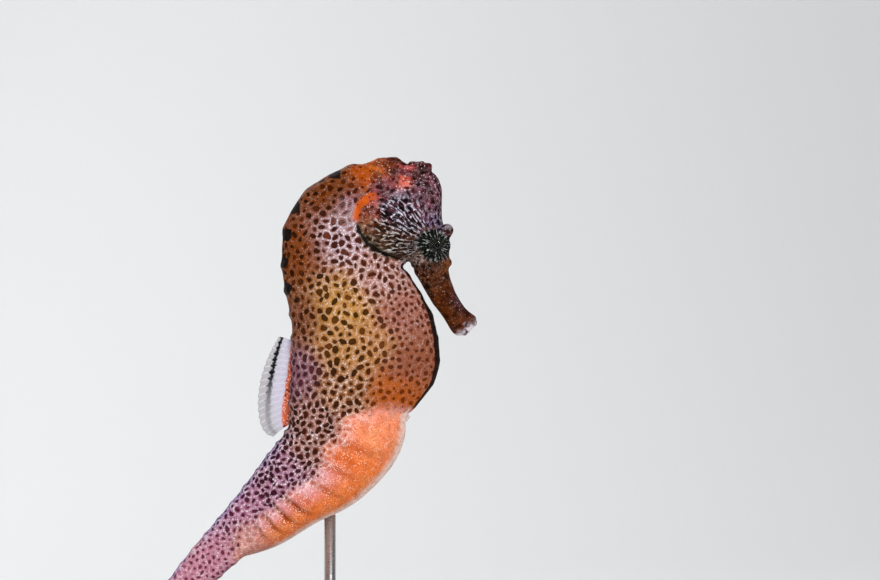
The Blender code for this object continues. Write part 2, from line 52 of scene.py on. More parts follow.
# ---------------------------------------------------------------- the animal's measures
# x, z, facing, half depth, half width, belly pinch, back pinch
TRUNK = (
    (11.5, 70.8, 98, 8.6, 4.5, 0.1, 0.30),
    (9.3, 70.0, 112, 9.5, 5.2, 0.1, 0.30),
    (7.0, 68.4, 130, 10.4, 5.8, 0.2, 0.30),
    (5.5, 66.6, 146, 11.2, 6.4, 0.3, 0.28),
    (4.4, 63.6, 161, 11.8, 7.0, 0.4, 0.26),
    (4.7, 60.2, 173, 12.2, 7.5, 0.5, 0.24),
    (6.5, 54.8, 179, 13.3, 8.0, 0.55, 0.22),
    (8.2, 49.0, 180, 13.8, 8.3, 0.55, 0.20),
    (8.7, 43.7, 180, 14.2, 8.3, 0.55, 0.20),
    (8.2, 38.0, 180, 13.9, 7.9, 0.5, 0.20),
    (6.2, 33.3, 178, 12.2, 7.2, 0.4, 0.20),
    (2.9, 28.0, 169, 9.1, 6.3, 0.2, 0.15),
    (-1.5, 22.9, 152, 7.5, 5.7, 0.1, 0.1),
    (-6.2, 18.5, 137, 6.5, 5.2, 0.0, 0.1),
)
TRUNK_RINGS, VENT = 11, 49.0 * MM
TAIL_LENGTH, TAIL_RINGS, TAIL_LAST_RING = 83.0 * MM, 35, 0.25
TAIL_HEADING, TAIL_SWEEP = math.radians(224), 1.0
TAIL_CURL, TAIL_CURL_FROM, TAIL_CURL_POWER = 270.0, 17.0 * MM, 1.3
TAIL_TIP, TAIL_WIDTH_SHARE = 0.45 * MM, 0.84
TAIL_BASE, TAIL_TAPER = 4.8 * MM, 1.15
WIDTH_FADE, FACING_FADE = 9 * MM, 5 * MM
TRUNK_SQUARENESS, TAIL_SQUARENESS = 2.3, 3.0
HEAD = (
    (7.4, 71.7, 95, 6.3, 3.6, 0.1, 0.45),
    (10.2, 71.2, 92, 8.7, 5.2, 0.2, 0.45),
    (13.7, 70.9, 91, 9.3, 5.8, 0.25, 0.5),
    (16.4, 69.9, 87, 9.3, 5.7, 0.25, 0.5),
    (18.9, 69.1, 79, 9.0, 5.2, 0.25, 0.5),
    (19.8, 68.1, 73, 8.8, 5.1, 0.22, 0.48),
    (20.3, 66.7, 68, 7.8, 4.9, 0.2, 0.45),
    (20.5, 64.1, 60, 5.4, 4.4, 0.1, 0.35),
    (21.2, 61.5, 42, 4.5, 3.7, 0.0, 0.25),
    (21.5, 59.0, 28, 3.4, 2.9, 0.0, 0.1),
    (22.1, 56.8, 26, 2.8, 2.3, 0.0, 0.0),
    (23.4, 54.0, 29, 2.5, 2.05, 0.0, 0.0),
    (25.2, 51.2, 31, 2.3, 1.9, 0.0, 0.0),
    (26.6, 49.4, 31, 2.6, 2.0, 0.0, 0.0),
    (27.8, 48.2, 38, 2.5, 1.9, 0.0, 0.0),
    (28.7, 47.5, 46, 1.75, 1.4, 0.0, 0.0),
)
HEAD_SQUARENESS = 2.2
# x, z, facing, half depth, half width
POUCH = (
    (10.5, 33.0, 166, 5.9, 4.6),
    (9.9, 30.2, 166, 6.7, 6.2),
    (8.4, 26.8, 164, 7.4, 7.2),
    (5.9, 23.4, 161, 7.8, 7.6),
    (2.7, 20.0, 156, 7.6, 7.4),
    (-1.2, 16.6, 151, 6.8, 6.8),
    (-5.4, 14.0, 146, 5.8, 6.0),
    (-9.3, 10.8, 138, 4.8, 5.1),
    (-12.9, 8.0, 130, 3.4, 4.1),
    (-15.6, 6.0, 126, 2.0, 2.6),
)
POUCH_SQUARENESS = 2.1
THROAT_AT, THROAT_TILT = (13.9, 61.7), math.radians(-30)
THROAT_RADII = (2.9 * MM, 3.4 * MM, 1.9 * MM)
EYE_AT, EYE_Y, EYE_RADIUS = (22.3, 63.5), 3.15 * MM, 2.0 * MM
ORBIT_Y, ORBIT_RADIUS = 2.5 * MM, 2.5 * MM
EYE_SPINE = ((22.7, 65.3, 2.0), (25.15, 67.2, 2.9))
NOSE_SPINE = ((23.4, 60.0, 0.0), (25.0, 60.85, 0.0))
SPINE_RADIUS, SPINE_TIP_SHARE = 1.3 * MM, 0.6
EYE_SPINE_RADIUS, EYE_SPINE_TIP_SHARE = 1.85 * MM, 0.5
GILL_AT, GILL_Y, GILL_TILT = (12.7, 67.7), 3.9 * MM, math.radians(-28)
GILL_RADII = np.array((6.3, 2.9, 5.4)) * MM
MOUTH_AT, MOUTH_TILT = (29.3, 47.3), math.radians(-40)
MOUTH_RADII = np.array((1.7, 1.0, 0.5)) * MM
CORONET_AT, CORONET_TILT = (18.7, 78.1), math.radians(8)
CORONET_RADII = (2.4 * MM, 2.4 * MM, 1.7 * MM)
# the gap kept open between chest and snout: where it begins and is full, its range of z and its width
GAP_X, GAP_Z, GAP_WIDTH = (15.2, 16.4), (48, 62.5), 0.85 * MM
GAP_WAY = Vector((-0.83, 0, -0.56))
VOXEL = 0.28 * MM
SEED = 11
# middle, width and height of the ridges that run along the body, by their angle round it
TRUNK_RIDGES = ((0, 10, 0.8), (22, 9, 1.0), (78, 9, 0.55), (128, 9, 0.5))
TAIL_RIDGES = ((42, 11, 1.0), (138, 11, 0.8))
# middle, width and strength of what crosses the pouch, by its place along it
POUCH_GROOVES = (
    (8.4, 0.9, 0.25), (13.9, 0.7, 0.3), (18.4, 0.6, 0.4), (24.6, 0.5, 1.0),
    (27.5, 0.5, 1.0), (30.3, 0.45, 0.9), (33.0, 0.45, 0.8),
)
POUCH_CREASES = ((15.5, 0.6, 1.0), (19.3, 0.5, 0.8), (11.8, 0.7, 0.5))
# the valleys are only painted: darker orange as painted shade of the folds
POUCH_VALLEY_SHADE = ((8.2, 1.1, 0.8), (11.4, 1.2, 1.0), (14.2, 0.7, 0.5), (18.3, 0.9, 0.8), (22.6, 1.0, 1.0))
POUCH_EDGE = (
    (18.5, 33.6), (12.0, 33.0), (4.6, 31.6), (4.7, 28.3), (1.2, 24.9),
    (-0.6, 19.8), (-5.9, 16.6), (-11.2, 12.2), (-14.5, 7.4),
)
GILL_SLIT = ((7.2, 67.2), (7.7, 65.8), (9.1, 63.8), (11.4, 62.2), (14.1, 61.1), (15.9, 60.6))
BACK_BLOTCHES = ((2.85, 77.4), (-4.75, 70.7), (-6.25, 65.4), (-6.45, 60.4), (-6.05, 55.3))
BASE_HEIGHT, ROD_AT, ROD_TOP = 7.0, 4.9, 50.9


# ---------------------------------------------------------------- small tools


def place(x, z, y=0.0):
    """The point of the world at x and z millimetres on the animal and y metres to its left."""
    return Vector((x * MM + ANIMAL_AT[0], y, z * MM + ANIMAL_AT[1]))


def smoothstep(low, high, value):
    """0 below low, 1 above high."""
    share = np.clip((value - low) / (high - low), 0, 1)
    return share * share * (3 - 2 * share)


def cone(value, low, high):
    """1 below low, 0 above high."""
    return 1 - smoothstep(low, high, value)


def bell(value, middle, width):
    return np.exp(-(((value - middle) / width) ** 2))


def bells(value, rows):
    """The sum of the bells of some rows of middle, width and height."""
    return sum(height * bell(value, middle, width) for middle, width, height in rows)


def link_object(name, mesh):
    thing = bpy.data.objects.new(name, mesh)
    bpy.context.scene.collection.objects.link(thing)
    return thing


def new_object(name, verts, faces):
    mesh = bpy.data.meshes.new(name)
    mesh.from_pydata([tuple(v) for v in verts], [], faces)
    mesh.update()
    return link_object(name, mesh)


def face_outward(mesh):
    shape = bmesh.new()
    shape.from_mesh(mesh)
    bmesh.ops.recalc_face_normals(shape, faces=shape.faces)
    shape.to_mesh(mesh)
    shape.free()


def natural_spline(knots, values, wanted):
    """The smooth curve through values at knots, read at the wanted places."""
    count = len(knots)
    step = np.diff(knots)
    slope = np.diff(values, axis=0) / step[:, None]
    system = np.eye(count)
    right = np.zeros_like(values)
    for i in range(1, count - 1):
        system[i, i - 1 : i + 2] = step[i - 1], 2 * (step[i - 1] + step[i]), step[i]
        right[i] = 6 * (slope[i] - slope[i - 1])
    bend = np.linalg.solve(system, right)
    i = np.clip(np.searchsorted(knots, wanted) - 1, 0, count - 2)
    t, h = (wanted - knots[i])[:, None], step[i][:, None]
    linear = slope[i] - h * (2 * bend[i] + bend[i + 1]) / 6
    return values[i] + t * (linear + t * (bend[i] / 2 + t * (bend[i + 1] - bend[i]) / (6 * h)))


# ---------------------------------------------------------------- tracks


def track_through(stations, samples=400):
    """A fine track through stations: places along it, and the stations' columns in metres and radians."""
    table = np.array(stations, float)
    table[:, :2] = table[:, :2] * MM + ANIMAL_AT
    table[:, 2] = np.radians(table[:, 2])
    table[:, 3:5] *= MM
    chord = np.r_[0, np.cumsum(np.linalg.norm(np.diff(table[:, :2], axis=0), axis=1))]
    fine = natural_spline(chord, table, np.linspace(0, chord[-1], samples))
    along = np.r_[0, np.cumsum(np.linalg.norm(np.diff(fine[:, :2], axis=0), axis=1))]
    return along, fine


def tail_track(start, samples=800):
    """The tail's track from the trunk's last row: it sweeps, then curls more and more."""
    along = np.linspace(0, TAIL_LENGTH, samples)
    share = along / TAIL_LENGTH
    curled = np.clip((along - TAIL_CURL_FROM) / (TAIL_LENGTH - TAIL_CURL_FROM), 0, None)
    bend = TAIL_SWEEP + TAIL_CURL * curled**TAIL_CURL_POWER
    step = along[1]
    heading = TAIL_HEADING + np.r_[0, np.cumsum((bend[1:] + bend[:-1]) / 2 * step)]
    middle = (heading[1:] + heading[:-1]) / 2
    x = start[0] + np.r_[0, np.cumsum(np.cos(middle) * step)]
    z = start[1] + np.r_[0, np.cumsum(np.sin(middle) * step)]
    taper = TAIL_BASE * (1 - share) ** TAIL_TAPER
    root = (start[3] - TAIL_TIP - TAIL_BASE) * np.exp(-along / WIDTH_FADE)
    depth = TAIL_TIP + taper + root
    width_share = start[4] / start[3] - TAIL_WIDTH_SHARE
    width = depth * (TAIL_WIDTH_SHARE + width_share * np.exp(-along / WIDTH_FADE))
    facing = heading - math.pi / 2
    facing += (start[2] - facing[0]) * np.exp(-along / FACING_FADE)
    zeros = np.zeros(samples)
    return along, np.column_stack((x, z, facing, depth, width, zeros, zeros + start[6]))


def rows_at(track, places):
    along, table = track
    return np.column_stack([np.interp(places, along, table[:, i]) for i in range(table.shape[1])])


def loft_points(rows, sides, squareness):
    """Rings of points, one for each row. Each starts at the back and goes round by the belly."""
    angle = (np.arange(sides) * 2 * math.pi / sides)[None, :]
    c, s = np.cos(angle), np.sin(angle)
    power = 2 / squareness
    u = rows[:, 3:4] * np.sign(c) * np.abs(c) ** power
    v = rows[:, 4:5] * np.sign(s) * np.abs(s) ** power
    if rows.shape[1] > 5:
        v = v * (1 - rows[:, 5:6] * ((1 - c) / 2) ** 3 - rows[:, 6:7] * ((1 + c) / 2) ** 3)
    facing = rows[:, 2:3]
    x = rows[:, 0:1] + u * np.cos(facing)
    z = rows[:, 1:2] + u * np.sin(facing)
    return np.stack((x, -v, z), axis=-1)


def loft(name, points):
    """A closed mesh through rings of points."""
    count, sides = points.shape[:2]
    i = np.arange(count - 1)[:, None] * sides
    j = np.arange(sides)[None, :]
    k = (j + 1) % sides
    quads = np.stack((i + j, i + sides + j, i + sides + k, i + k), axis=-1).reshape(-1, 4)
    ends = [list(range(sides)), list(reversed(range((count - 1) * sides, count * sides)))]
    return new_object(name, points.reshape(-1, 3), quads.tolist() + ends)


TRUNK_ALONG, TRUNK_TABLE = track_through(TRUNK)
TAIL_ALONG, TAIL_TABLE = tail_track(TRUNK_TABLE[-1])
TRUNK_END = TRUNK_ALONG[-1]
BODY_TRACK = (np.r_[TRUNK_ALONG, TRUNK_END + TAIL_ALONG[1:]], np.vstack((TRUNK_TABLE, TAIL_TABLE[1:])))
BODY_END = BODY_TRACK[0][-1]
HEAD_TRACK = track_through(HEAD)
HEAD_END = HEAD_TRACK[0][-1] / MM
POUCH_TRACK = track_through(POUCH)


def ring_edges():
    """Where the bony rings begin along the body."""
    spacing = np.linspace(1.0, TAIL_LAST_RING, TAIL_RINGS)
    tail = VENT + np.cumsum(spacing) * (BODY_END - VENT) / spacing.sum()
    return np.r_[np.linspace(0, VENT, TRUNK_RINGS + 1), tail]


def tailness(places):
    return np.clip((places - VENT) / (TRUNK_END - VENT), 0, 1)


def body_squareness(places):
    return TRUNK_SQUARENESS + tailness(places) * (TAIL_SQUARENESS - TRUNK_SQUARENESS)


class Part:
    """One fine loft with its track, so that points can be given their place along it and round it."""

    def __init__(self, name, track, rows_count, sides, squareness):
        self.track, self.sides = track, sides
        self.places = np.linspace(0, track[0][-1], rows_count)
        self.rows = rows_at(track, self.places)
        power = squareness(self.places)[:, None] if callable(squareness) else squareness
        points = loft_points(self.rows, sides, power)
        self.object = loft(name, points)
        self.tree = BVHTree.FromPolygons(
            [tuple(p) for p in points.reshape(-1, 3)],
            [tuple(p.vertices) for p in self.object.data.polygons],
        )
        # a point far away lies outside, which tells the way that the faces look
        self.sense = 1.0
        self.sense = math.copysign(1.0, self.reach(Vector((0, 1, 0)))[0])

    def reach(self, point):
        """Signed distance outside the surface, and the face that lies nearest."""
        spot, normal, face, gap = self.tree.find_nearest(point)
        return self.sense * math.copysign(gap, (point - spot).dot(normal)), face

    def locate(self, points):
        """Millimetres outside the surface and along it, and degrees from the back, of each point."""
        found = [self.reach(Vector(p)) for p in points]
        distance = np.array([gap for gap, face in found])
        row = np.array([min(face // self.sides, len(self.places) - 2) for gap, face in found])
        facing = self.rows[:, 2]
        ahead = np.stack((-np.sin(facing), np.cos(facing)), axis=1)
        flat = points[:, [0, 2]]
        before = ((flat - self.rows[row, :2]) * ahead[row]).sum(1)
        after = ((flat - self.rows[row + 1, :2]) * ahead[row + 1]).sum(1)
        share = np.clip(before / np.where(np.abs(before - after) < 1e-9, 1e-9, before - after), 0, 1)
        along = self.places[row] + share * (self.places[row + 1] - self.places[row])
        here = rows_at(self.track, along)
        u = ((flat - here[:, :2]) * np.stack((np.cos(here[:, 2]), np.sin(here[:, 2])), axis=1)).sum(1)
        angle = np.arctan2(-points[:, 1] / here[:, 4], u / here[:, 3])
        return distance / MM, along / MM, np.degrees(np.abs(angle))


# ---------------------------------------------------------------- solids of the skin


def ellipsoid(name, centre, radii, tilt=0.0, segments=64):
    shape = bmesh.new()
    bmesh.ops.create_uvsphere(shape, u_segments=segments, v_segments=segments // 2, radius=1.0)
    world = Matrix.Translation(centre) @ Matrix.Rotation(-tilt, 4, "Y") @ Matrix.Diagonal((*radii, 1.0))
    bmesh.ops.transform(shape, matrix=world, verts=shape.verts)
    mesh = bpy.data.meshes.new(name)
    shape.to_mesh(mesh)
    shape.free()
    return link_object(name, mesh)


def turned(radii, heights, sides):
    """Rings of points round the z axis."""
    angle = np.arange(sides) * 2 * math.pi / sides
    radii, heights = np.asarray(radii)[:, None], np.asarray(heights)[:, None]
    return np.stack((radii * np.cos(angle), radii * np.sin(angle), heights + 0 * angle), axis=-1)


def thorn(name, root, tip, radius, tip_share, rings=14, sides=24):
    """A thorn with a rounded tip. root and tip are x, z and y in millimetres."""
    low, high = (place(x, z, y * MM) for x, z, y in (root, tip))
    share = np.linspace(0, 1, rings)
    dome = np.sqrt(np.maximum(1 - np.maximum(0, (share - 0.75) / 0.25) ** 2, 0.004))
    radii = radius * (1 - (1 - tip_share) * share**1.2) * dome
    world = Matrix.Translation(low) @ (high - low).to_track_quat("Z", "Y").to_matrix().to_4x4()
    points = turned(radii, share * (high - low).length, sides)
    return loft(name, (points @ np.array(world.to_3x3()).T + np.array(world.translation))[:, ::-1])


def fused(name, things, voxel):
    """One closed mesh round all the things, which are removed."""
    for thing in things:
        face_outward(thing.data)
    target = things[0]
    with bpy.context.temp_override(active_object=target, selected_editable_objects=things, object=target):
        bpy.ops.object.join()
    modifier = target.modifiers.new("fuse", "REMESH")
    modifier.mode = "VOXEL"
    modifier.voxel_size = voxel
    graph = bpy.context.evaluated_depsgraph_get()
    mesh = bpy.data.meshes.new_from_object(target.evaluated_get(graph))
    bpy.data.objects.remove(target)
    return link_object(name, mesh)


def read_rows(collection, name, width, kind=np.float32):
    """What a mesh's points or edges hold under a name, as one row for each."""
    values = np.empty(len(collection) * width, kind)
    collection.foreach_get(name, values)
    return values.reshape(-1, width)


def read_points(mesh):
    return read_rows(mesh.vertices, "co", 3).astype(float)


def read_normals(mesh):
    return read_rows(mesh.vertex_normals, "vector", 3).astype(float)


def write_points(mesh, points):
    mesh.vertices.foreach_set("co", points.astype(np.float32).ravel())
    mesh.update()


def neighbour_mean(values, edges):
    a, b = edges.T
    count = len(values)
    degree = np.bincount(a, minlength=count) + np.bincount(b, minlength=count)
    total = [np.bincount(a, column[b], count) + np.bincount(b, column[a], count) for column in values.T]
    return np.stack(total, axis=1) / np.maximum(degree, 1)[:, None]


def smooth(points, edges, rounds, weight=1.0, amounts=(0.5, -0.52)):
    """Moves points to the mean of their neighbours, and with a second amount back, which keeps the size."""
    weight = np.broadcast_to(np.asarray(weight, float), len(points))[:, None]
    for _ in range(rounds):
        for amount in amounts:
            points = points + amount * weight * (neighbour_mean(points, edges) - points)
    return points


def clear_gap(form, other):
    """Moves the chest's points by the snout away from the other form, so that the two don't fuse."""
    mesh = form.object.data
    points = read_points(mesh)
    low, high = (place(x, z) for x, z in zip(GAP_X, GAP_Z))
    x, z = points[:, 0], points[:, 2]
    for i in np.nonzero((x > low.x) & (z > low.z) & (z < high.z))[0]:
        point = Vector(points[i])
        reach = other.reach(point)[0]
        wanted = GAP_WIDTH * float(smoothstep(low.x, high.x, point.x))
        if reach < wanted:
            points[i] = point + GAP_WAY * (wanted - reach)
    write_points(mesh, points)


body_form = Part("body_form", BODY_TRACK, 420, 96, body_squareness)
head_form = Part("head_form", HEAD_TRACK, 150, 96, HEAD_SQUARENESS)
pouch_form = Part("pouch_form", POUCH_TRACK, 120, 96, POUCH_SQUARENESS)
clear_gap(body_form, head_form)


def make_skin():
    forms = [body_form.object, head_form.object, pouch_form.object]
    forms.append(ellipsoid("coronet_form", place(*CORONET_AT), CORONET_RADII, -CORONET_TILT))
    forms.append(ellipsoid("throat_form", place(*THROAT_AT), THROAT_RADII, THROAT_TILT))
    for side, sign in (("right", -1), ("left", 1)):
        forms.append(ellipsoid(f"gill_form_{side}", place(*GILL_AT, sign * GILL_Y), GILL_RADII, GILL_TILT))
        forms.append(ellipsoid(f"orbit_form_{side}", place(*EYE_AT, sign * ORBIT_Y), [ORBIT_RADIUS] * 3))
        root, tip = ((x, z, sign * y) for x, z, y in EYE_SPINE)
        forms.append(thorn(f"eye_spine_form_{side}", root, tip, EYE_SPINE_RADIUS, EYE_SPINE_TIP_SHARE))
    forms.append(thorn("nose_spine_form", *NOSE_SPINE, SPINE_RADIUS, SPINE_TIP_SHARE))
    return fused("seahorse_skin", forms, VOXEL)


# ---------------------------------------------------------------- where a point lies on the animal


# without this, noise_vector is seeded by the clock
noise.seed_set(SEED)


def noise_at(points, size, seed, vector=False):
    """Smooth noise of one number or three for each point, about -1 to 1, with features of the given size."""
    scale = 1 / size
    shift = Vector((seed * 17.3, seed * -9.1, seed * 5.7))
    read = noise.noise_vector if vector else noise.noise
    return np.array([read(Vector(p) * scale + shift) for p in points])


def inside_ellipsoid(points, centre, radii, tilt):
    """How far out each point lies, 1 on the surface, the same from the side only, and the turn in degrees."""
    c, s = math.cos(tilt), math.sin(tilt)
    d = points - np.array(centre)
    x, z = d[:, 0] * c + d[:, 2] * s, -d[:, 0] * s + d[:, 2] * c
    side = (x / radii[0]) ** 2 + (z / radii[2]) ** 2
    return np.sqrt(side + (d[:, 1] / radii[1]) ** 2), np.sqrt(side), np.degrees(np.arctan2(z, x))


def polyline_side(x, z, line):
    """Signed distance from a polyline, positive on its left-hand side."""
    best = np.full(len(x), np.inf)
    signed = np.zeros(len(x))
    for (x0, z0), (x1, z1) in zip(line, line[1:]):
        dx, dz = x1 - x0, z1 - z0
        t = np.clip(((x - x0) * dx + (z - z0) * dz) / (dx * dx + dz * dz), 0, 1)
        px, pz = x - (x0 + t * dx), z - (z0 + t * dz)
        distance = np.hypot(px, pz)
        closer = distance < best - 1e-6
        best = np.where(closer, distance, best)
        signed = np.where(closer, distance * np.sign(dx * pz - dz * px), signed)
    return signed


class Places:
    """Where each point of the skin lies on the animal, in millimetres, degrees and shares."""

    def __init__(self, points):
        self.points = points
        self.x = (points[:, 0] - ANIMAL_AT[0]) / MM
        self.z = (points[:, 2] - ANIMAL_AT[1]) / MM
        self.y = np.abs(points[:, 1]) / MM
        self.d_body, self.s_body, self.a_body = body_form.locate(points)
        self.d_head, self.s_head, _ = head_form.locate(points)
        self.d_pouch, self.s_pouch, self.a_pouch = pouch_form.locate(points)
        gills = [
            inside_ellipsoid(points, place(*GILL_AT, y), GILL_RADII, GILL_TILT) for y in (-GILL_Y, GILL_Y)
        ]
        out_of_gill, self.gill_side, self.gill_turn = np.where(points[:, 1] < 0, *gills)
        self.eye_r = self.gap(*EYE_AT)
        self.eye_turn = np.arctan2(self.z - EYE_AT[1], self.x - EYE_AT[0])
        head_gap = np.minimum(self.d_head, (out_of_gill - 1) * GILL_RADII[1] / MM)
        forehead = smoothstep(18.0, 20.5, self.x) * (self.z > 66)
        self.on_head = np.maximum(smoothstep(-0.35, 0.35, self.d_body - head_gap), forehead)
        self.on_pouch = smoothstep(-0.3, 0.4, self.d_body - self.d_pouch)
        edges = ring_edges()
        self.ring = np.interp(self.s_body * MM, edges, np.arange(len(edges)))
        self.tail = tailness(self.s_body * MM)

    def gap(self, x, z):
        """Distance from a place, seen from the side."""
        return np.hypot(self.x - x, self.z - z)


# ---------------------------------------------------------------- relief, in millimetres


def body_relief(at):
    """The bony rings, their long ridges and the tubercles where the two cross."""
    crest = bell(at.ring % 1, 0.5, 0.17)
    trunk = 0.12 * crest + bells(at.a_body, TRUNK_RIDGES) * (0.05 + 0.28 * crest)
    small = np.clip(1.15 - 0.9 * (at.s_body * MM - TRUNK_END) / (BODY_END - TRUNK_END), 0.2, 1.0)
    tail = small * (0.16 * crest + bells(at.a_body, TAIL_RIDGES) * (0.08 + 0.34 * crest))
    return -0.22 + trunk * (1 - at.tail) + tail * at.tail


def pouch_folds(at):
    """Strength of the pouch's grooves and of the pads between them, near the tail's edge of the pouch."""
    along = at.s_pouch + 0.25 * np.cos(np.radians(at.a_pouch) * 5)
    grooves = bells(along, POUCH_GROOVES)
    pads = smoothstep(2, 12, along) * cone(along, 33.5, 36) * (1 - np.clip(grooves * 1.2, 0, 1))
    return np.clip(grooves, 0, 1) * cone(at.a_pouch, 100, 138), pads * cone(at.a_pouch, 72, 118)


def pouch_relief(at):
    """The folds where the pouch meets the tail, and a few faint creases across it."""
    grooves, pads = pouch_folds(at)
    creases = bells(at.s_pouch, POUCH_CREASES) * cone(at.a_pouch, 95, 135)
    return -0.14 + 0.24 * pads - 0.46 * grooves - 0.16 * creases


def gill_relief(at):
    """The gill cover's rim and rays, and the slit behind it."""
    outer = at.y > 2.6
    front = smoothstep(-5, 35, at.gill_turn) * cone(at.gill_turn, 120, 150)
    rim = bell(at.gill_side, 0.965, 0.05) * (1 - 0.75 * front)
    rays = np.cos(np.radians(at.gill_turn) * 26)
    rays *= smoothstep(0.25, 0.6, at.gill_side) * cone(at.gill_side, 0.9, 1.0)
    slit = (at.y > 2.0) * bell(polyline_side(at.x, at.z, GILL_SLIT), -0.1, 0.42)
    return outer * (0.16 * rim + 0.035 * rays) - 0.5 * slit


def coronet_relief(at):
    """Five low points round the coronet's top, with a dip in the middle."""
    lean_cos, lean_sin, slope, size = 0.99, 0.139, 0.14, 2.4
    x, z = at.x - CORONET_AT[0], at.z - CORONET_AT[1]
    across, side = (x * lean_cos - z * lean_sin) / size, at.points[:, 1] / MM / size
    reach, turn = np.hypot(across, side), np.arctan2(side, across)
    points = 0.50 * bell(reach, 0.8, 0.22) * (0.25 + 0.75 * np.cos(5 * turn))
    return smoothstep(77.6, 78.8, at.z + slope * x) * (points - 0.25 * bell(reach, 0.1, 0.4))


def head_relief(at):
    """The gill cover, the ridges of the head, the coronet, the eye's rim, nostrils and lips."""
    height = gill_relief(at) + coronet_relief(at) - 0.05
    height += 0.18 * bell(at.x - at.z, -47.5, 0.9) * bell(at.z, 67.5, 3.0) * (at.y > 3)
    height += 0.55 * bell(at.gap(14.7, 80.4), 0, 1.0) - 0.30 * bell(at.gap(17.1, 79.9), 0, 1.0)
    height += 0.16 * (at.y > 1) * bell(polyline_side(at.x, at.z, ((14.7, 78.6), (18.0, 77.8))), 0, 0.35)
    eyelid = 0.10 * bell(at.eye_r, 2.3, 0.35) + 0.12 * bell(at.eye_r, 3.0, 0.3) * np.cos(at.eye_turn * 9)
    height += (at.y > 2.6) * eyelid - (at.y > 1.0) * 0.3 * bell(at.gap(23.0, 60.2), 0, 0.4)
    lips = HEAD_END - at.s_head
    return height + 0.14 * bell(lips, 1.4, 0.6) - 0.12 * bell(lips, 3.6, 1.2)


def shape_skin(skin):
    """Smooths the fused skin and raises its relief. Gives the places of its points."""
    mesh = skin.data
    edges = read_rows(mesh.edges, "vertices", 2, np.int32)
    points = smooth(read_points(mesh), edges, 4)
    write_points(mesh, points)
    at = Places(points)
    nape = bell(at.d_head, 0, 0.8) * bell(at.d_body, 0, 0.8) * smoothstep(64, 67, at.z) * cone(at.x, 12, 14)
    crease = bell(at.d_pouch, 0, 0.5) * bell(at.d_body, 0, 0.5)
    turret = bell(at.eye_r, 2.7, 0.6) + 0.7 * bell(at.gap(18.1, 79), 0, 3)
    points = smooth(points, edges, 40, np.clip(nape, 0, 1), (0.5,))
    points = smooth(points, edges, 10, np.clip(crease + 0.6 * turret, 0, 1), (0.5,))
    write_points(mesh, points)
    lips = cone(HEAD_END - at.s_head, 0.6, 2.4) * at.on_head
    knobbly = 1 + 1.6 * at.on_head * smoothstep(67, 70, at.z) + 5 * lips
    height = knobbly * (0.045 * noise_at(points, 2.0 * MM, 1) + 0.035 * noise_at(points, 0.9 * MM, 2))
    height += (1 - at.on_head) * ((1 - at.on_pouch) * body_relief(at) + at.on_pouch * pouch_relief(at))
    height += at.on_head * head_relief(at)
    mouth = inside_ellipsoid(points, place(*MOUTH_AT), MOUTH_RADII, MOUTH_TILT)[0]
    height -= 0.5 * cone(mouth, 0.7, 1.2)
    points = points + read_normals(mesh) * height[:, None] * MM
    socket = cone(at.eye_r, 1.55, 1.95) * (at.y > 2.0) * smoothstep(20, 20.5, at.x)
    points[:, 1] -= np.sign(points[:, 1]) * socket * 1.35 * MM
    write_points(mesh, smooth(points, edges, 1))
    mesh.shade_smooth()
    return at


# ---------------------------------------------------------------- the skin's pattern

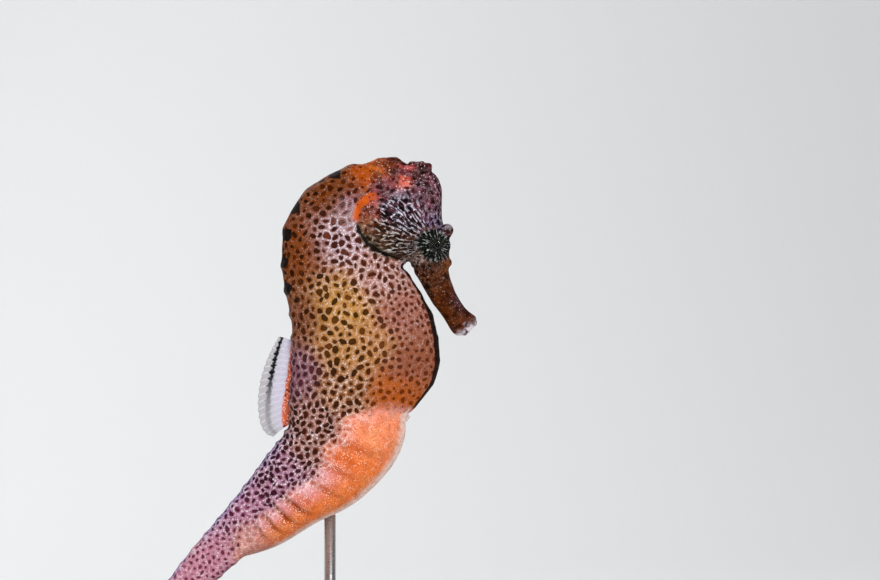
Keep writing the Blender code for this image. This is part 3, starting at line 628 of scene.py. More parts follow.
# x, z, reach of the place; ground, net and spot colours in thousandths; spot radius, spacing and stretch;
# strength of the net and of the specks
BODY_TONES = {
    "nape": (1.9, 74.1, 5, (155, 32, 2), (360, 130, 40), (14, 4, 1), 0.5, 1.38, 0.5, 0.2, 1),
    "back": (-4.4, 62.7, 5, (180, 35, 1), (380, 140, 30), (14, 5, 1), 0.49, 1.36, 0.5, 0.16, 1),
    "back_low": (-3.6, 50, 4, (170, 44, 12), (420, 180, 110), (24, 7, 2), 0.52, 1.4, 0.5, 0.5, 0.8),
    "back_by_fin": (-4, 39.8, 4, (200, 70, 95), (450, 250, 310), (60, 16, 28), 0.52, 1.33, 0.5, 0.8, 0.6),
    "nape_orange": (8.4, 77.2, 2.2, (420, 68, 2), (600, 180, 50), (80, 14, 3), 0.3, 1.4, 0.5, 0.2, 0.8),
    "behind_gill": (5.4, 71.4, 1.8, (220, 62, 80), (740, 560, 700), (40, 8, 8), 0.48, 1.25, 0.6, 0.8, 0.8),
    "shoulder": (4, 65.2, 5, (240, 95, 85), (880, 760, 880), (50, 9, 4), 0.56, 1.24, 0.9, 1.25, 0.9),
    "chest": (10.5, 57.5, 4, (300, 112, 76), (800, 580, 600), (60, 12, 4), 0.52, 1.26, 0.9, 1.1, 0.8),
    "trunk": (4.5, 52, 5, (420, 180, 30), (780, 520, 280), (50, 20, 2), 0.58, 1.42, 0.6, 0.8, 0.6),
    "trunk_low": (4.5, 44, 5, (360, 140, 26), (740, 460, 270), (50, 17, 2), 0.58, 1.38, 0.6, 0.8, 0.6),
    "trunk_front": (11.5, 45.5, 3.2, (380, 150, 40), (720, 450, 280), (60, 18, 3), 0.5, 1.38, 0.6, 0.7, 0.6),
    "front": (15.5, 50, 4, (290, 88, 56), (580, 300, 250), (95, 20, 9), 0.4, 1.14, 0.6, 0.6, 0.5),
    "front_low": (16.6, 41.5, 4, (260, 75, 35), (420, 170, 110), (110, 24, 10), 0.44, 1.33, 0.6, 0.4, 0.4),
    "notch": (14.8, 35.9, 3.6, (420, 85, 8), (560, 200, 70), (180, 34, 3), 0.42, 1.34, 0.4, 0.3, 0.5),
    "flank": (4.2, 37.2, 4, (200, 62, 14), (740, 450, 300), (34, 9, 2), 0.57, 1.2, 0.6, 1.1, 0.6),
    "vent": (-1.5, 29, 4, (160, 42, 20), (760, 460, 420), (34, 8, 3), 0.54, 1.1, 0.9, 1.1, 0.6),
    "tail_root": (-9.5, 20.9, 4, (150, 27, 54), (710, 440, 600), (36, 6, 13), 0.46, 0.97, 1, 1.25, 0.7),
    "tail": (-16, 13.3, 5, (260, 60, 115), (740, 490, 660), (85, 13, 38), 0.42, 0.96, 0.9, 1.15, 0.6),
    "tail_belly": (-13.5, 8.5, 3, (420, 160, 120), (660, 420, 400), (200, 55, 55), 0.3, 1.05, 0.6, 0.8, 0.5),
    "tail_low": (-24, 4, 6, (420, 130, 190), (680, 420, 520), (190, 38, 70), 0.33, 1, 0.8, 1, 0.5),
    "tail_curl": (-24, -18, 9, (380, 115, 160), (640, 380, 460), (140, 28, 50), 0.38, 1.03, 0.6, 0.9, 0.5),
}
HEAD_TONES = {
    "nape": (3.5, 75.5, 3, (160, 38, 8), (360, 130, 70), (22, 6, 1), 0.46, 1.6, 0.5, 0.2, 0.9),
    "crown": (9.6, 77.6, 2.6, (480, 82, 4), (740, 280, 70), (110, 16, 3), 0.2, 1.6, 0.5, 0.25, 1.1),
    "crown_front": (13.6, 79, 1.7, (130, 22, 7), (640, 240, 160), (30, 5, 3), 0.3, 1.3, 0.7, 0.12, 0.9),
    "crest": (19, 79, 2.8, (110, 18, 20), (660, 320, 360), (10, 2, 2), 0.38, 1.15, 0.8, 0.15, 1.7),
    "ridge": (15, 77.3, 1, (200, 36, 40), (520, 190, 200), (60, 12, 14), 0.3, 1.2, 0.6, 0.3, 0.7),
    "patch": (15.9, 75.6, 1.2, (660, 100, 50), (920, 460, 420), (90, 12, 16), 0.3, 1.15, 0.5, 0.2, 1.9),
    "behind_patch": (11.6, 74.2, 2.4, (175, 27, 36), (660, 360, 440), (16, 3, 5), 0.4, 1.15, 0.9, 0.25, 1.6),
    "forehead": (21, 73.4, 3.6, (125, 24, 38), (640, 420, 560), (10, 2, 4), 0.42, 1.1, 0.9, 0.28, 1.8),
    "brow": (21.4, 67.9, 1.4, (110, 40, 95), (580, 520, 820), (12, 3, 16), 0.46, 1.05, 0.9, 0.7, 1),
    "gill_rim": (9.4, 70.6, 1.8, (320, 56, 30), (720, 300, 260), (26, 4, 4), 0.44, 1.1, 0.6, 0.2, 1.1),
    "gill_back": (9.2, 67.2, 1.8, (220, 52, 14), (500, 240, 130), (30, 7, 3), 0.44, 1.2, 1.2, 0.35, 0.9),
    "cheek": (15.2, 70, 3.4, (80, 26, 42), (720, 660, 880), (10, 4, 6), 0.42, 0.9, 2.8, 0.9, 0.6),
    "gill_low": (12.6, 64.6, 3, (85, 34, 12), (620, 530, 400), (14, 6, 3), 0.38, 0.86, 3.4, 0.7, 0.8),
    "jaw": (18, 62.2, 2.2, (85, 36, 24), (560, 480, 440), (12, 5, 3), 0.38, 0.86, 3, 0.6, 0.8),
    "eye": (22.3, 63.3, 2.6, (10, 9, 7), (340, 340, 340), (3, 3, 3), 0.32, 1.1, 1.2, 0.3, 0.3),
    "nose": (24, 60.3, 1.2, (170, 48, 10), (340, 200, 130), (40, 12, 6), 0.28, 1.4, 0.4, 0.1, 0.7),
    "snout_root": (20.4, 57.6, 2.4, (80, 18, 3), (400, 150, 70), (12, 3, 1), 0.4, 1.15, 0.9, 0.15, 0.5),
    "snout": (23.6, 52.2, 2.6, (88, 18, 2), (380, 120, 30), (16, 4, 1), 0.34, 1.5, 1, 0.04, 0.22),
    "snout_front": (26.2, 53.2, 1.5, (42, 13, 18), (300, 160, 220), (10, 3, 5), 0.38, 1.3, 1, 0.15, 0.6),
    "lips": (29.6, 47.2, 0.45, (500, 300, 340), (720, 580, 680), (160, 60, 70), 0.26, 1.5, 0.4, 0.2, 0.3),
}
# patches of colour on the head: from, to, reach, colour and strength
HEAD_MARKS = {
    "crown_top": ((13.4, 80.6), (18.6, 79.9), 0.9, (0.080, 0.013, 0.008), 0.9),
    "ridge": ((14.8, 78.7), (18.0, 77.9), 0.38, (0.58, 0.100, 0.100), 0.85),
    "under_ridge": ((13.9, 77.7), (18.6, 76.8), 0.55, (0.11, 0.018, 0.028), 0.85),
    "coronet_dark": ((19.2, 78.6), (19.8, 78.0), 0.6, (0.025, 0.007, 0.010), 0.8),
    "forehead_dark": ((20.1, 74.8), (21.2, 73.5), 0.6, (0.016, 0.008, 0.009), 0.85),
    "brow_dark": ((21.2, 70.0), (22.0, 68.7), 0.4, (0.016, 0.006, 0.012), 0.7),
    "spine": ((24.2, 65.8), (25.2, 66.0), 0.55, (0.15, 0.026, 0.034), 0.9),
    "over_eye": ((20.0, 66.5), (22.0, 66.8), 0.5, (0.22, 0.060, 0.022), 0.8),
    "patch": ((14.9, 76.1), (16.9, 75.3), 0.75, (0.74, 0.125, 0.070), 0.75),
    "behind_crescent": ((10.2, 71.8), (10.8, 69.4), 0.9, (0.46, 0.085, 0.050), 0.7),
    "orange_front": ((9.0, 78.2), (11.2, 77.0), 0.8, (0.62, 0.13, 0.006), 0.6),
}


def blend_tones(tones, x, z):
    """Ground, net and spot colours and the five pattern numbers at each point, from the places in tones."""
    table = np.array([np.hstack(row) for row in tones.values()], float)
    table[:, 3:12] /= 1000
    gap = (x[:, None] - table[:, 0]) ** 2 + (z[:, None] - table[:, 1]) ** 2
    weight = (1 + gap / table[:, 2] ** 2) ** -3.0
    return (weight / weight.sum(1, keepdims=True)) @ table[:, 3:]


def spread_seeds(points, spacing, rng):
    """Indices of points that keep at least the local spacing apart."""
    keys = np.floor(points / float(spacing.max())).astype(int)
    around = [(i, j, k) for i in (-1, 0, 1) for j in (-1, 0, 1) for k in (-1, 0, 1)]
    kept, grid = [], {}
    for i in rng.permutation(len(points)):
        x, y, z = keys[i]
        near = [seed for dx, dy, dz in around for seed in grid.get((x + dx, y + dy, z + dz), ())]
        if near and (((points[near] - points[i]) ** 2).sum(1) < spacing[i] * spacing[i]).any():
            continue
        kept.append(i)
        grid.setdefault((x, y, z), []).append(i)
    return np.array(kept)


def spot_fields(points, centres, radius, lengthen, direction):
    """Millimetres inside the nearest spot and from the line to the next one, and the spot's number."""
    tree = KDTree(len(centres))
    for k, centre in enumerate(centres):
        tree.insert(Vector(centre), k)
    tree.balance()
    near = np.array([[hit[1] for hit in tree.find_n(Vector(p), 5)] for p in points])
    offset = points[:, None, :] - centres[near]
    along = (offset * direction[near]).sum(2)
    across = np.sqrt(np.maximum((offset**2).sum(2) - along**2, 0))
    stretch = np.sqrt(lengthen[near])
    away = np.hypot(along / stretch, across * stretch) / MM - radius[near]
    ordered = np.sort(away, axis=1)
    owner = near[np.arange(len(near)), np.argmin(away, axis=1)]
    return -ordered[:, 0], (ordered[:, 1] - ordered[:, 0]) / 2, owner


def unit(vectors):
    return vectors / np.linalg.norm(vectors, axis=1, keepdims=True)


def paint(colours, share, colour):
    """The colours taken by share towards another colour. Each may be one, or one for each point."""
    return colours + np.asarray(share)[..., None] * (np.asarray(colour) - colours)


def store(mesh, name, values, kind="FLOAT_VECTOR"):
    """Keeps three values for each point where a material can read them."""
    data = mesh.attributes.new(name, kind, "POINT").data
    if kind == "FLOAT_COLOR":
        values = np.column_stack((np.clip(values, 0, 1), np.ones(len(values))))
    data.foreach_set("color" if kind == "FLOAT_COLOR" else "vector", values.astype(np.float32).ravel())


class Pattern:
    """The colours of the skin's points, and their places in the pattern of spots, net and specks."""

    def __init__(self, mesh, at):
        self.mesh, self.at, self.points = mesh, at, read_points(mesh)
        self.drift = noise_at(self.points, 5 * MM, 5, vector=True)
        self.ragged = noise_at(self.points, 1.0 * MM, 6)
        self.slit = polyline_side(at.x, at.z, GILL_SLIT)
        self.on_head = at.on_head * smoothstep(4, 7, at.x)
        dx, dz = self.drift[:, 0], self.drift[:, 2]
        tones = blend_tones(BODY_TONES, at.x + 0.6 * dx, at.z + 0.6 * dz)
        tones = paint(tones, self.on_head, blend_tones(HEAD_TONES, at.x + 0.3 * dx, at.z + 0.3 * dz))
        self.ground, self.net, self.dark = tones[:, 0:3], tones[:, 3:6], tones[:, 6:9]
        self.radius, self.spacing, self.stretch, self.net_strength, self.specks = tones[:, 9:].T

    def lay_spots(self):
        """Spreads spots of uneven size and length. Those of the cheek point to the eye."""
        rng = np.random.default_rng(SEED)
        seeds = spread_seeds(self.points, self.spacing * MM, rng)
        count, centres, stretch = len(seeds), self.points[seeds], self.stretch[seeds]
        size = self.radius[seeds] * rng.uniform(0.65, 1.2, count)
        size = np.where(rng.random(count) < 0.1, size * 0.55, size)
        random = unit(np.cross(rng.normal(size=(count, 3)), read_normals(self.mesh)[seeds]))
        to_eye = np.array(place(*EYE_AT)) - centres
        to_eye[:, 1] = 0
        streaky = smoothstep(1.3, 1.8, stretch) * self.on_head[seeds]
        direction = unit(paint(random, streaky, unit(to_eye)))
        lengthen = 1 + stretch * rng.uniform(0.3, 1.0, count)
        warp = noise_at(self.points, 1.1 * MM, 7, vector=True) * (0.30 + 0.25 * self.on_head[:, None]) * MM
        self.depth, self.border, owner = spot_fields(self.points + warp, centres, size, lengthen, direction)
        # each spot has its own brown, from dark to rust
        glow = (rng.random(count) ** 2.2)[owner] * (1 - 0.7 * self.on_head)
        glow *= 0.35 + 0.65 * smoothstep(34, 46, self.at.z)
        self.dark = paint(self.dark, 0.62 * glow, paint(np.array((0.16, 0.026, 0.004)), 0.27, self.ground))

    def paint_pouch(self):
        """Makes the pouch plain and coral orange, with pink pads by the tail and painted shade in the grooves
        and valleys between them, a cream rim and a pink top edge.
        """
        at, ragged = self.at, self.ragged
        along, above = at.s_pouch, at.d_body - at.d_pouch
        edge = polyline_side(at.x, at.z, POUCH_EDGE) + 0.9 * noise_at(self.points, 2.5 * MM, 9) + 0.6 * ragged
        below = smoothstep(-2.6, -0.4, above)
        self.plain = smoothstep(0.4, 2.8, edge) * smoothstep(-1.4, -0.1, above + 0.5 * ragged)
        self.plain *= 1 - 0.55 * smoothstep(30, 36, along)
        self.above = above
        self.depth = self.depth - 0.5 * smoothstep(-1.6, 2.2, edge) * below
        self.specks = self.specks + self.plain * (0.75 + 0.5 * cone(edge, 1.5, 5.5) - self.specks)
        grooves, pads = pouch_folds(at)
        valley_shade = bells(along + 0.25 * ragged, POUCH_VALLEY_SHADE) * cone(at.a_pouch, 82, 132)
        ground = np.array((0.86, 0.212, 0.048)) + cone(along, 4, 12)[:, None] * np.array((0.02, 0.05, 0.07))
        ground = ground - smoothstep(22, 34, along)[:, None] * np.array((0.04, 0.0, 0.0))
        patches = smoothstep(-0.1, 0.5, noise_at(self.points, 3.0 * MM, 12))
        ground = ground + patches[:, None] * np.array((0.02, 0.05, 0.02))
        for share, colour in (
            (0.62 * cone(edge, 0.3, 3.4), (0.80, 0.30, 0.24)),
            (0.95 * pads * smoothstep(10, 17, along), (0.72, 0.31, 0.36)),
            # painted shade: the valleys darker orange
            (0.65 * valley_shade, (0.62, 0.090, 0.004)),
            (0.92 * smoothstep(138, 158, at.a_pouch + 5.73 * ragged), (1.0, 0.82, 0.74)),
            (0.55 * smoothstep(172, 177, at.a_pouch), (0.84, 0.32, 0.16)),
            (0.8 * smoothstep(30, 36, along), (0.50, 0.21, 0.19)),
            # painted shade: the grooves by the tail dark brown
            (0.95 * grooves**0.7, (0.22, 0.030, 0.006)),
        ):
            ground = paint(ground, share, colour)
        net = np.array((0.93, 0.52, 0.38)) + cone(edge, 1.0, 5.0)[:, None] * np.array((0.07, 0.20, 0.28))
        tinted = smoothstep(-1.5, 1.1, edge) * below
        self.ground, self.net = paint(self.ground, tinted, ground), paint(self.net, tinted, net)
        self.dark = paint(self.dark, tinted, (0.24, 0.045, 0.015))

    def paint_tips(self):
        """Pale tubercles on the tail, and white lips and tips of the eye spines."""
        at = self.at
        ridges = bell(at.a_body, 42, 10) + 0.5 * bell(at.a_body, 22, 8)
        knobs = smoothstep(0.35, 0.8, bell(at.ring % 1, 0.5, 0.15) * ridges)
        knobs *= smoothstep(0, 3, at.s_body - VENT / MM) * (1 - self.on_head) * cone(self.above, -0.9, -0.1)
        self.spine_tip = smoothstep(66.5, 67.2, at.z + 0.3 * self.ragged) * smoothstep(23.7, 24.2, at.x)
        self.spine_tip *= at.y > 1
        lips = cone(HEAD_END - at.s_head + 1.1 * self.ragged, 0.4, 1.9) * self.on_head
        tips = np.maximum(0.7 * knobs, np.maximum(self.spine_tip, 0.95 * lips))
        self.ground = paint(self.ground, tips, (0.80, 0.71, 0.79))

    def paint_crescent(self):
        """The plain orange crescent at the back of the gill cover."""
        at = self.at
        turn = at.gill_turn % 360
        crescent = smoothstep(132, 148, turn) * cone(turn, 196, 212) * (at.y > 1.5)
        inner_edge = smoothstep(0.78, 0.86, at.gill_side + 0.05 * self.drift[:, 0])
        crescent *= inner_edge * cone(at.gill_side, 1.02, 1.12)
        self.crescent = crescent
        self.ground = paint(self.ground, crescent, (0.64, 0.105, 0.010))
        self.depth = self.depth - 0.45 * crescent * smoothstep(0.8, 0.9, at.gill_side)
        self.net_strength = self.net_strength * (1 - crescent)
        uneven = np.clip(0.85 + 1.4 * noise_at(self.points, 1.4 * MM, 14), 0.2, 1.7)
        self.specks = self.specks * (1 - 0.8 * crescent) * uneven

    def paint_head_marks(self):
        """The named patches of colour on the head."""
        x, z = self.at.x + 0.35 * self.drift[:, 0], self.at.z + 0.35 * self.drift[:, 2]
        for start, end, reach, colour, strength in HEAD_MARKS.values():
            away = np.abs(polyline_side(x, z, (start, end))) + 0.15 * self.ragged
            share = strength * self.on_head * cone(away, 0.6 * reach, 1.5 * reach)
            self.ground = paint(self.ground, share, colour)

    def paint_black(self):
        """The dark keel of the chest, the blotches along the back, and the gill slit's painted shadow: black
        in it, soft olive beside it.
        """
        at = self.at
        keel = smoothstep(160, 172, at.a_body) * smoothstep(8, 12, at.x) * smoothstep(31.5, 33.5, at.z)
        keel *= (1 - self.on_head) * (1 - self.plain)
        uneven = 0.5 * self.drift[:, 1] + 0.2 * self.ragged
        blotches = [cone(np.hypot(at.gap(x, z), 0.28 * at.y) + uneven, 1.0, 1.6) for x, z in BACK_BLOTCHES]
        slit = (np.abs(self.slit - 0.1) + 0.16 * self.ragged) / (0.75 + 0.6 * bell(at.x, 9.9, 2.0))
        # painted shadow: the gap under the gill cover's edge, painted black
        slit_shadow = cone(slit, 0.10, 0.40) * (at.y > 2.0)
        # black holds the real dark keel and blotches and the painted shadow of the gill slit
        self.black = np.clip(np.max([keel, slit_shadow, *blotches], axis=0), 0, 1)
        # painted soft shadow in olive along the slit, which also gives the olive band of the gill cover's
        # lower edge
        shade = 0.75 * cone(slit, 0.3, 1.0) * (at.y > 2.0) * cone(at.x, 13, 17)
        olive = np.array((0.050, 0.034, 0.008))
        self.ground = paint(self.ground, shade, olive)
        self.net = paint(self.net, shade, 2.5 * olive)
        self.dark = paint(self.dark, shade, 0.3 * olive)

    def mark_cheek(self):
        """Where the rays round the eye and the cheek's streaks are."""
        at, drift, bare = self.at, self.drift, self.on_head * (1 - self.spine_tip)
        eye_zone = np.hypot(at.x - 21.7, (at.z - 63.1) * 1.06) + 0.9 * drift[:, 0] + 0.5 * self.ragged
        self.near_eye = cone(eye_zone, 2.3, 3.9) * (at.y > 1.2) * bare
        cheek = np.hypot((at.x - 15.6) / 6.2, (at.z - 67.0) / 6.6) + 0.08 * drift[:, 1]
        streaks = cone(cheek, 0.78, 1.0) * smoothstep(1.6, 2.6, at.y) * smoothstep(-0.1, 0.7, self.slit)
        self.streaks = np.maximum(streaks, cone(at.eye_r, 3.0, 3.6) * (at.y > 1.0)) * bare

    def paint_violet(self):
        """Violet patches along the tail's back."""
        violet = bell(self.at.a_body, 11.46, 25.78) * cone(self.at.z, 23, 31)
        violet *= (1 - self.on_head) * smoothstep(-0.45, 0.15, self.drift[:, 2])
        self.ground = paint(self.ground, 0.85 * violet, (0.16, 0.13, 0.40))
        self.dark = paint(self.dark, 0.8 * violet, (0.010, 0.006, 0.040))
        self.net = paint(self.net, 0.5 * violet, (0.60, 0.55, 0.80))

    def store(self):
        open_head = 1 - self.crescent
        for name in ("ground", "net", "dark"):
            store(self.mesh, name, getattr(self, name), "FLOAT_COLOR")
        for name, values in {
            # black: the dark keel and blotches, and the painted shadow of the gill slit
            "spots": (self.depth, self.border, self.black),
            "strengths": (self.net_strength * (1 - self.plain), self.specks, self.plain),
            "head_marks": (self.near_eye, self.on_head * open_head, self.streaks * open_head),
        }.items():
            store(self.mesh, name, np.column_stack(values))


def pattern_skin(skin, at):
    pattern = Pattern(skin.data, at)
    pattern.lay_spots()
    pattern.paint_pouch()
    pattern.paint_tips()
    pattern.paint_crescent()
    pattern.paint_head_marks()
    pattern.paint_black()
    pattern.mark_cheek()
    pattern.paint_violet()
    pattern.store()


# ---------------------------------------------------------------- materials


class Signal:
    """An output of a material's nodes. Its sums and products add the nodes that work them out."""

    def __init__(self, nodes, socket):
        self.nodes, self.socket = nodes, socket

    def __add__(self, other):
        return self.nodes.math("ADD", self, other)

    def __sub__(self, other):
        return self.nodes.math("SUBTRACT", self, other)

    def __rsub__(self, other):
        return self.nodes.math("SUBTRACT", other, self)

    def __mul__(self, other):
        return self.nodes.math("MULTIPLY", self, other)

    __radd__, __rmul__ = __add__, __mul__

    def step(self, low, high, to_low=0.0, to_high=1.0):
        """Goes smoothly from to_low where the signal is low to to_high where it is high."""
        values = {"Value": self, "From Min": low, "From Max": high, "To Min": to_low, "To Max": to_high}
        return self.nodes.add("MapRange", values, interpolation_type="SMOOTHSTEP")

    def fall(self, low, high):
        """1 where the signal is low, 0 where it is high."""
        return self.step(low, high, 1.0, 0.0)


class Nodes:
    """Writes a material's nodes with little text. Sizes are in millimetres."""

    def __init__(self, name):
        self.material = bpy.data.materials.new(name)
        self.material.use_nodes = True
        self.tree = self.material.node_tree
        here = self.add("TexCoord", {}, "Object")
        self.here = self.add("VectorMath", {0: here, "Scale": 1 / MM}, operation="SCALE")

    def link(self, source, socket):
        if isinstance(source, Signal):
            self.tree.links.new(source.socket, socket)
        else:
            socket.default_value = source

    def add(self, kind, inputs, output=0, **settings):
        """A node with its inputs and settings. Gives one of its outputs."""
        node = self.tree.nodes.new("ShaderNode" + kind)
        for name, value in settings.items():
            setattr(node, name, value)
        for key, value in inputs.items():
            self.link(value, node.inputs[key])
        return Signal(self, node.outputs[output])

    def attribute(self, name, output="Vector"):
        return self.add("Attribute", {}, output, attribute_name=name)

    def split(self, vector):
        node = self.add("SeparateXYZ", {0: vector}).socket.node
        return [Signal(self, output) for output in node.outputs]

    def math(self, operation, *values):
        return self.add("Math", dict(enumerate(values)), operation=operation)

    def max(self, a, b):
        return self.math("MAXIMUM", a, b)

    def wave(self, turns):
        """1 at each whole turn, -1 half way between."""
        return self.math("COSINE", turns * (2 * math.pi))

    def mix(self, share, a, b):
        """Colour a taken by share towards colour b. The node holds share between 0 and 1."""
        a, b = (item if isinstance(item, Signal) else (*item, 1.0) for item in (a, b))
        return self.add("Mix", {0: share, 6: a, 7: b}, 2, data_type="RGBA")

    def noise(self, size, detail=2.0, rough=0.5, at=None):
        inputs = {"Vector": at or self.here, "Scale": 1 / size, "Detail": detail, "Roughness": rough}
        return self.add("TexNoise", inputs)

    def dots(self, size, randomness=1.0, at=None):
        """Distance from the nearest of many scattered dots, in sizes."""
        inputs = {"Vector": at or self.here, "Scale": 1 / size, "Randomness": randomness}
        return self.add("TexVoronoi", inputs)

    def scaled(self, x, y, z):
        return self.add("VectorMath", {0: self.here, 1: (x, y, z)}, operation="MULTIPLY")

    def bump(self, height, distance, strength=1.0):
        inputs = {"Height": height, "Distance": distance * MM, "Strength": strength}
        return self.add("Bump", inputs, "Normal")

    def finish(self, **sockets):
        """Sets the shader's inputs, named in small letters, and gives the material."""
        shader = self.tree.nodes["Principled BSDF"]
        inputs = {socket.name.lower().replace(" ", "_"): socket for socket in shader.inputs}
        for name, value in sockets.items():
            self.link(value, inputs[name])
        return self.material


class SkinNodes(Nodes):
    """The skin's nodes, with what its points store."""

    def __init__(self):
        super().__init__("seahorse_skin")
        # black holds the dark keel and blotches and the painted shadow of the gill slit
        self.depth, self.border, self.black = self.split(self.attribute("spots"))
        self.net_strength, self.specks, self.plain = self.split(self.attribute("strengths"))
        self.near_eye, self.on_head, self.streaky = self.split(self.attribute("head_marks"))
        colours = ("ground", "net", "dark")
        self.ground, self.net, self.dark = (self.attribute(name, "Color") for name in colours)
        self.fine = self.noise(0.5, 3, 0.6)
        self.mottle = self.noise(1.6, 4, 0.6)
        self.spotted = 1 - self.plain - self.streaky

    def ragged(self, value, amount):
        """The value, with its edges broken by fine noise."""
        return value + (self.fine - 0.5) * amount


def mottled_ground(n):
    colour = n.mix(n.mottle.step(0.38, 0.68, 0.0, 0.55), n.ground, n.mix(0.55, n.ground, n.dark))
    dim = n.noise(1.9, 3, 0.6).step(0.46, 0.55, 0.0, 0.9) * n.on_head
    colour = n.mix(dim, colour, n.mix(0.88, n.ground, n.dark))
    pale = n.noise(1.7, 3, 0.55).step(0.42, 0.34, 0.0, 0.14) * n.on_head
    return n.mix(pale, colour, n.net)


def with_net(n, colour):
    """Adds the net of pale beads between the spots, with a faint halo."""
    strength = n.net_strength * (1 - n.streaky)
    colour = n.mix(n.border.step(0.05, 0.45, 0.16, 0.0) * strength, colour, n.net)
    line = n.ragged(n.border, 0.3).fall(0.03, 0.30) * strength
    bead = n.dots(0.38, 0.8).fall(0.22, 0.48)
    pale = n.mix(n.noise(0.8).step(0.42, 0.60, 0.0, 0.6), n.net, (0.94, 0.90, 0.94))
    return n.mix(line * (bead * 0.8 + 0.16), colour, pale)


def with_small_spots(n, colour):
    """Adds small spots between the large ones."""
    spots = n.dots(0.90, 0.95).fall(0.17, 0.27) * n.depth.fall(-0.40, -0.22) * n.spotted
    return n.mix(spots * (n.on_head * -0.6 + 0.8), colour, n.dark)


def with_spots(n, colour):
    """Adds the spots, dark round the rim and each its own brown within. Gives where they are, too."""
    edge = n.ragged(n.depth, 0.35)
    spot = n.math("MINIMUM", edge.step(-0.07, 0.07), n.ragged(n.border, 0.2).step(0.04, 0.13))
    rim = n.mix(0.55, n.dark, (0.008, 0.003, 0.002))
    return n.mix(spot * n.spotted, colour, n.mix(edge.step(0.04, 0.30, 0.1, 0.9), rim, n.dark)), spot


def white_specks(n):
    """Coarse specks and fine dust, mostly outside the spots."""
    coarse = n.dots(0.56) + (n.noise(0.7) - 0.5) * 0.35 - n.on_head * 0.05
    dust = n.dots(0.31).fall(0.16, 0.34) * n.noise(1.1, 3, 0.6).step(0.50, 0.60, 0.0, 0.5)
    outside = n.depth.step(-0.02, -0.12, 0.12, 1.0)
    return n.max(coarse.fall(0.11, 0.20), dust) * n.specks * 0.85 * outside * n.spotted


def with_pouch_speckle(n, colour):
    """Adds the pouch's deep and pale speckle."""
    deep = n.noise(0.36, 2, 0.6).step(0.48, 0.40, 0.0, 0.75)
    colour = n.mix(deep * n.plain, colour, n.mix(0.6, colour, (0.62, 0.06, 0.01)))
    pale = n.dots(0.30).fall(0.18, 0.42) * n.noise(0.7, 3, 0.6).step(0.36, 0.60, 0.35, 1.0)
    return n.mix(pale * n.plain * n.specks * 1.25, colour, n.mix(0.2, n.net, (1.0, 0.66, 0.50)))


def eye_streaks(n):
    """Pale broken streaks towards the eye, the distance from its axis, and a grain that runs alike."""
    x, _, z = n.split(n.here)
    ahead, up = place(*EYE_AT).x / MM - x, place(*EYE_AT).z / MM - z
    reach = n.math("SQRT", ahead * ahead + up * up)
    turn = n.math("ARCTAN2", up, ahead) + (n.noise(2.5, 1) - 0.5) * 0.16

    def polar(turn_scale, reach_scale):
        return n.add("CombineXYZ", {0: turn * turn_scale, 1: reach * reach_scale})

    dashes = n.dots(1, at=polar(4.2, 0.62)).fall(0.15, 0.33) * n.noise(1.0, 1).step(0.38, 0.56, 0.25, 1.0)
    bend = n.noise(1, 1, at=polar(2.5, 0.5))
    hairs = n.math("COSINE", turn * 23 + bend * 9).step(0.60, 0.96)
    hairs = hairs * n.noise(0.55, 1).step(0.44, 0.56, 0.0, 0.6)
    close = n.max(dashes, hairs)
    grain = n.noise(1, 1, at=polar(23, 0.5))
    line = close + reach.step(3.4, 4.6) * (grain.step(0.53, 0.58) - close)
    return line * n.noise(0.6, 1).step(0.38, 0.50, 0.2, 1.0), reach, grain


def with_cheek(n, colour, spot):
    """Adds the cheek's black ovals, with pale broken seams and streaks that run to the eye."""
    streaks, _, grain = eye_streaks(n)
    oval = spot * (n.streaky - n.near_eye)
    seam = n.ragged(n.border, 0.16).fall(0.00, 0.12) * n.noise(0.9).step(0.42, 0.54, 0.05, 1.0)
    seam = seam * grain.step(0.40, 0.50) * (1 - n.near_eye)
    streaks = n.max(streaks * n.near_eye.step(0.0, 0.5, 0.55, 1.0) * (1 - oval), seam)
    cells = n.mix(n.mottle.step(0.44, 0.60, 0.0, 0.8), n.dark, n.ground)
    cells = n.mix(n.near_eye.step(0.1, 0.8, 0.0, 0.94), cells, (0.003, 0.005, 0.003))
    pale = n.mix(n.near_eye.step(0.1, 0.8), n.mix(0.4, n.net, (0.97, 0.95, 1.0)), (0.60, 0.62, 0.60))
    colour = n.mix(oval, n.mix(n.streaky, colour, cells), (0.004, 0.002, 0.003))
    return n.mix(streaks * n.streaky * 0.92, colour, pale)


def skin_material():
    n = SkinNodes()
    colour = with_small_spots(n, with_net(n, mottled_ground(n)))
    colour, spot = with_spots(n, colour)
    speck = white_specks(n)
    colour = n.mix(speck, colour, n.mix(0.6, (0.98, 0.78, 0.60), n.net))
    colour = with_cheek(n, with_pouch_speckle(n, colour), spot)
    # the black keel and blotches, and the painted shadow in the gill slit
    colour = n.mix(n.ragged(n.black, 0.5).step(0.4, 0.62, 0.0, 0.96), colour, (0.006, 0.005, 0.005))
    pebbles = n.dots(0.32).fall(0.0, 0.7) * 0.4 + n.noise(0.9, 4, 0.6) * 0.9
    normal = n.bump(pebbles + speck * 0.8 - spot * n.spotted * 0.25, 0.10, 0.8)
    rough = n.fine.step(0.3, 0.7, 0.36, 0.56)
    return n.finish(base_color=colour, roughness=rough, normal=normal, specular_ior_level=0.02)


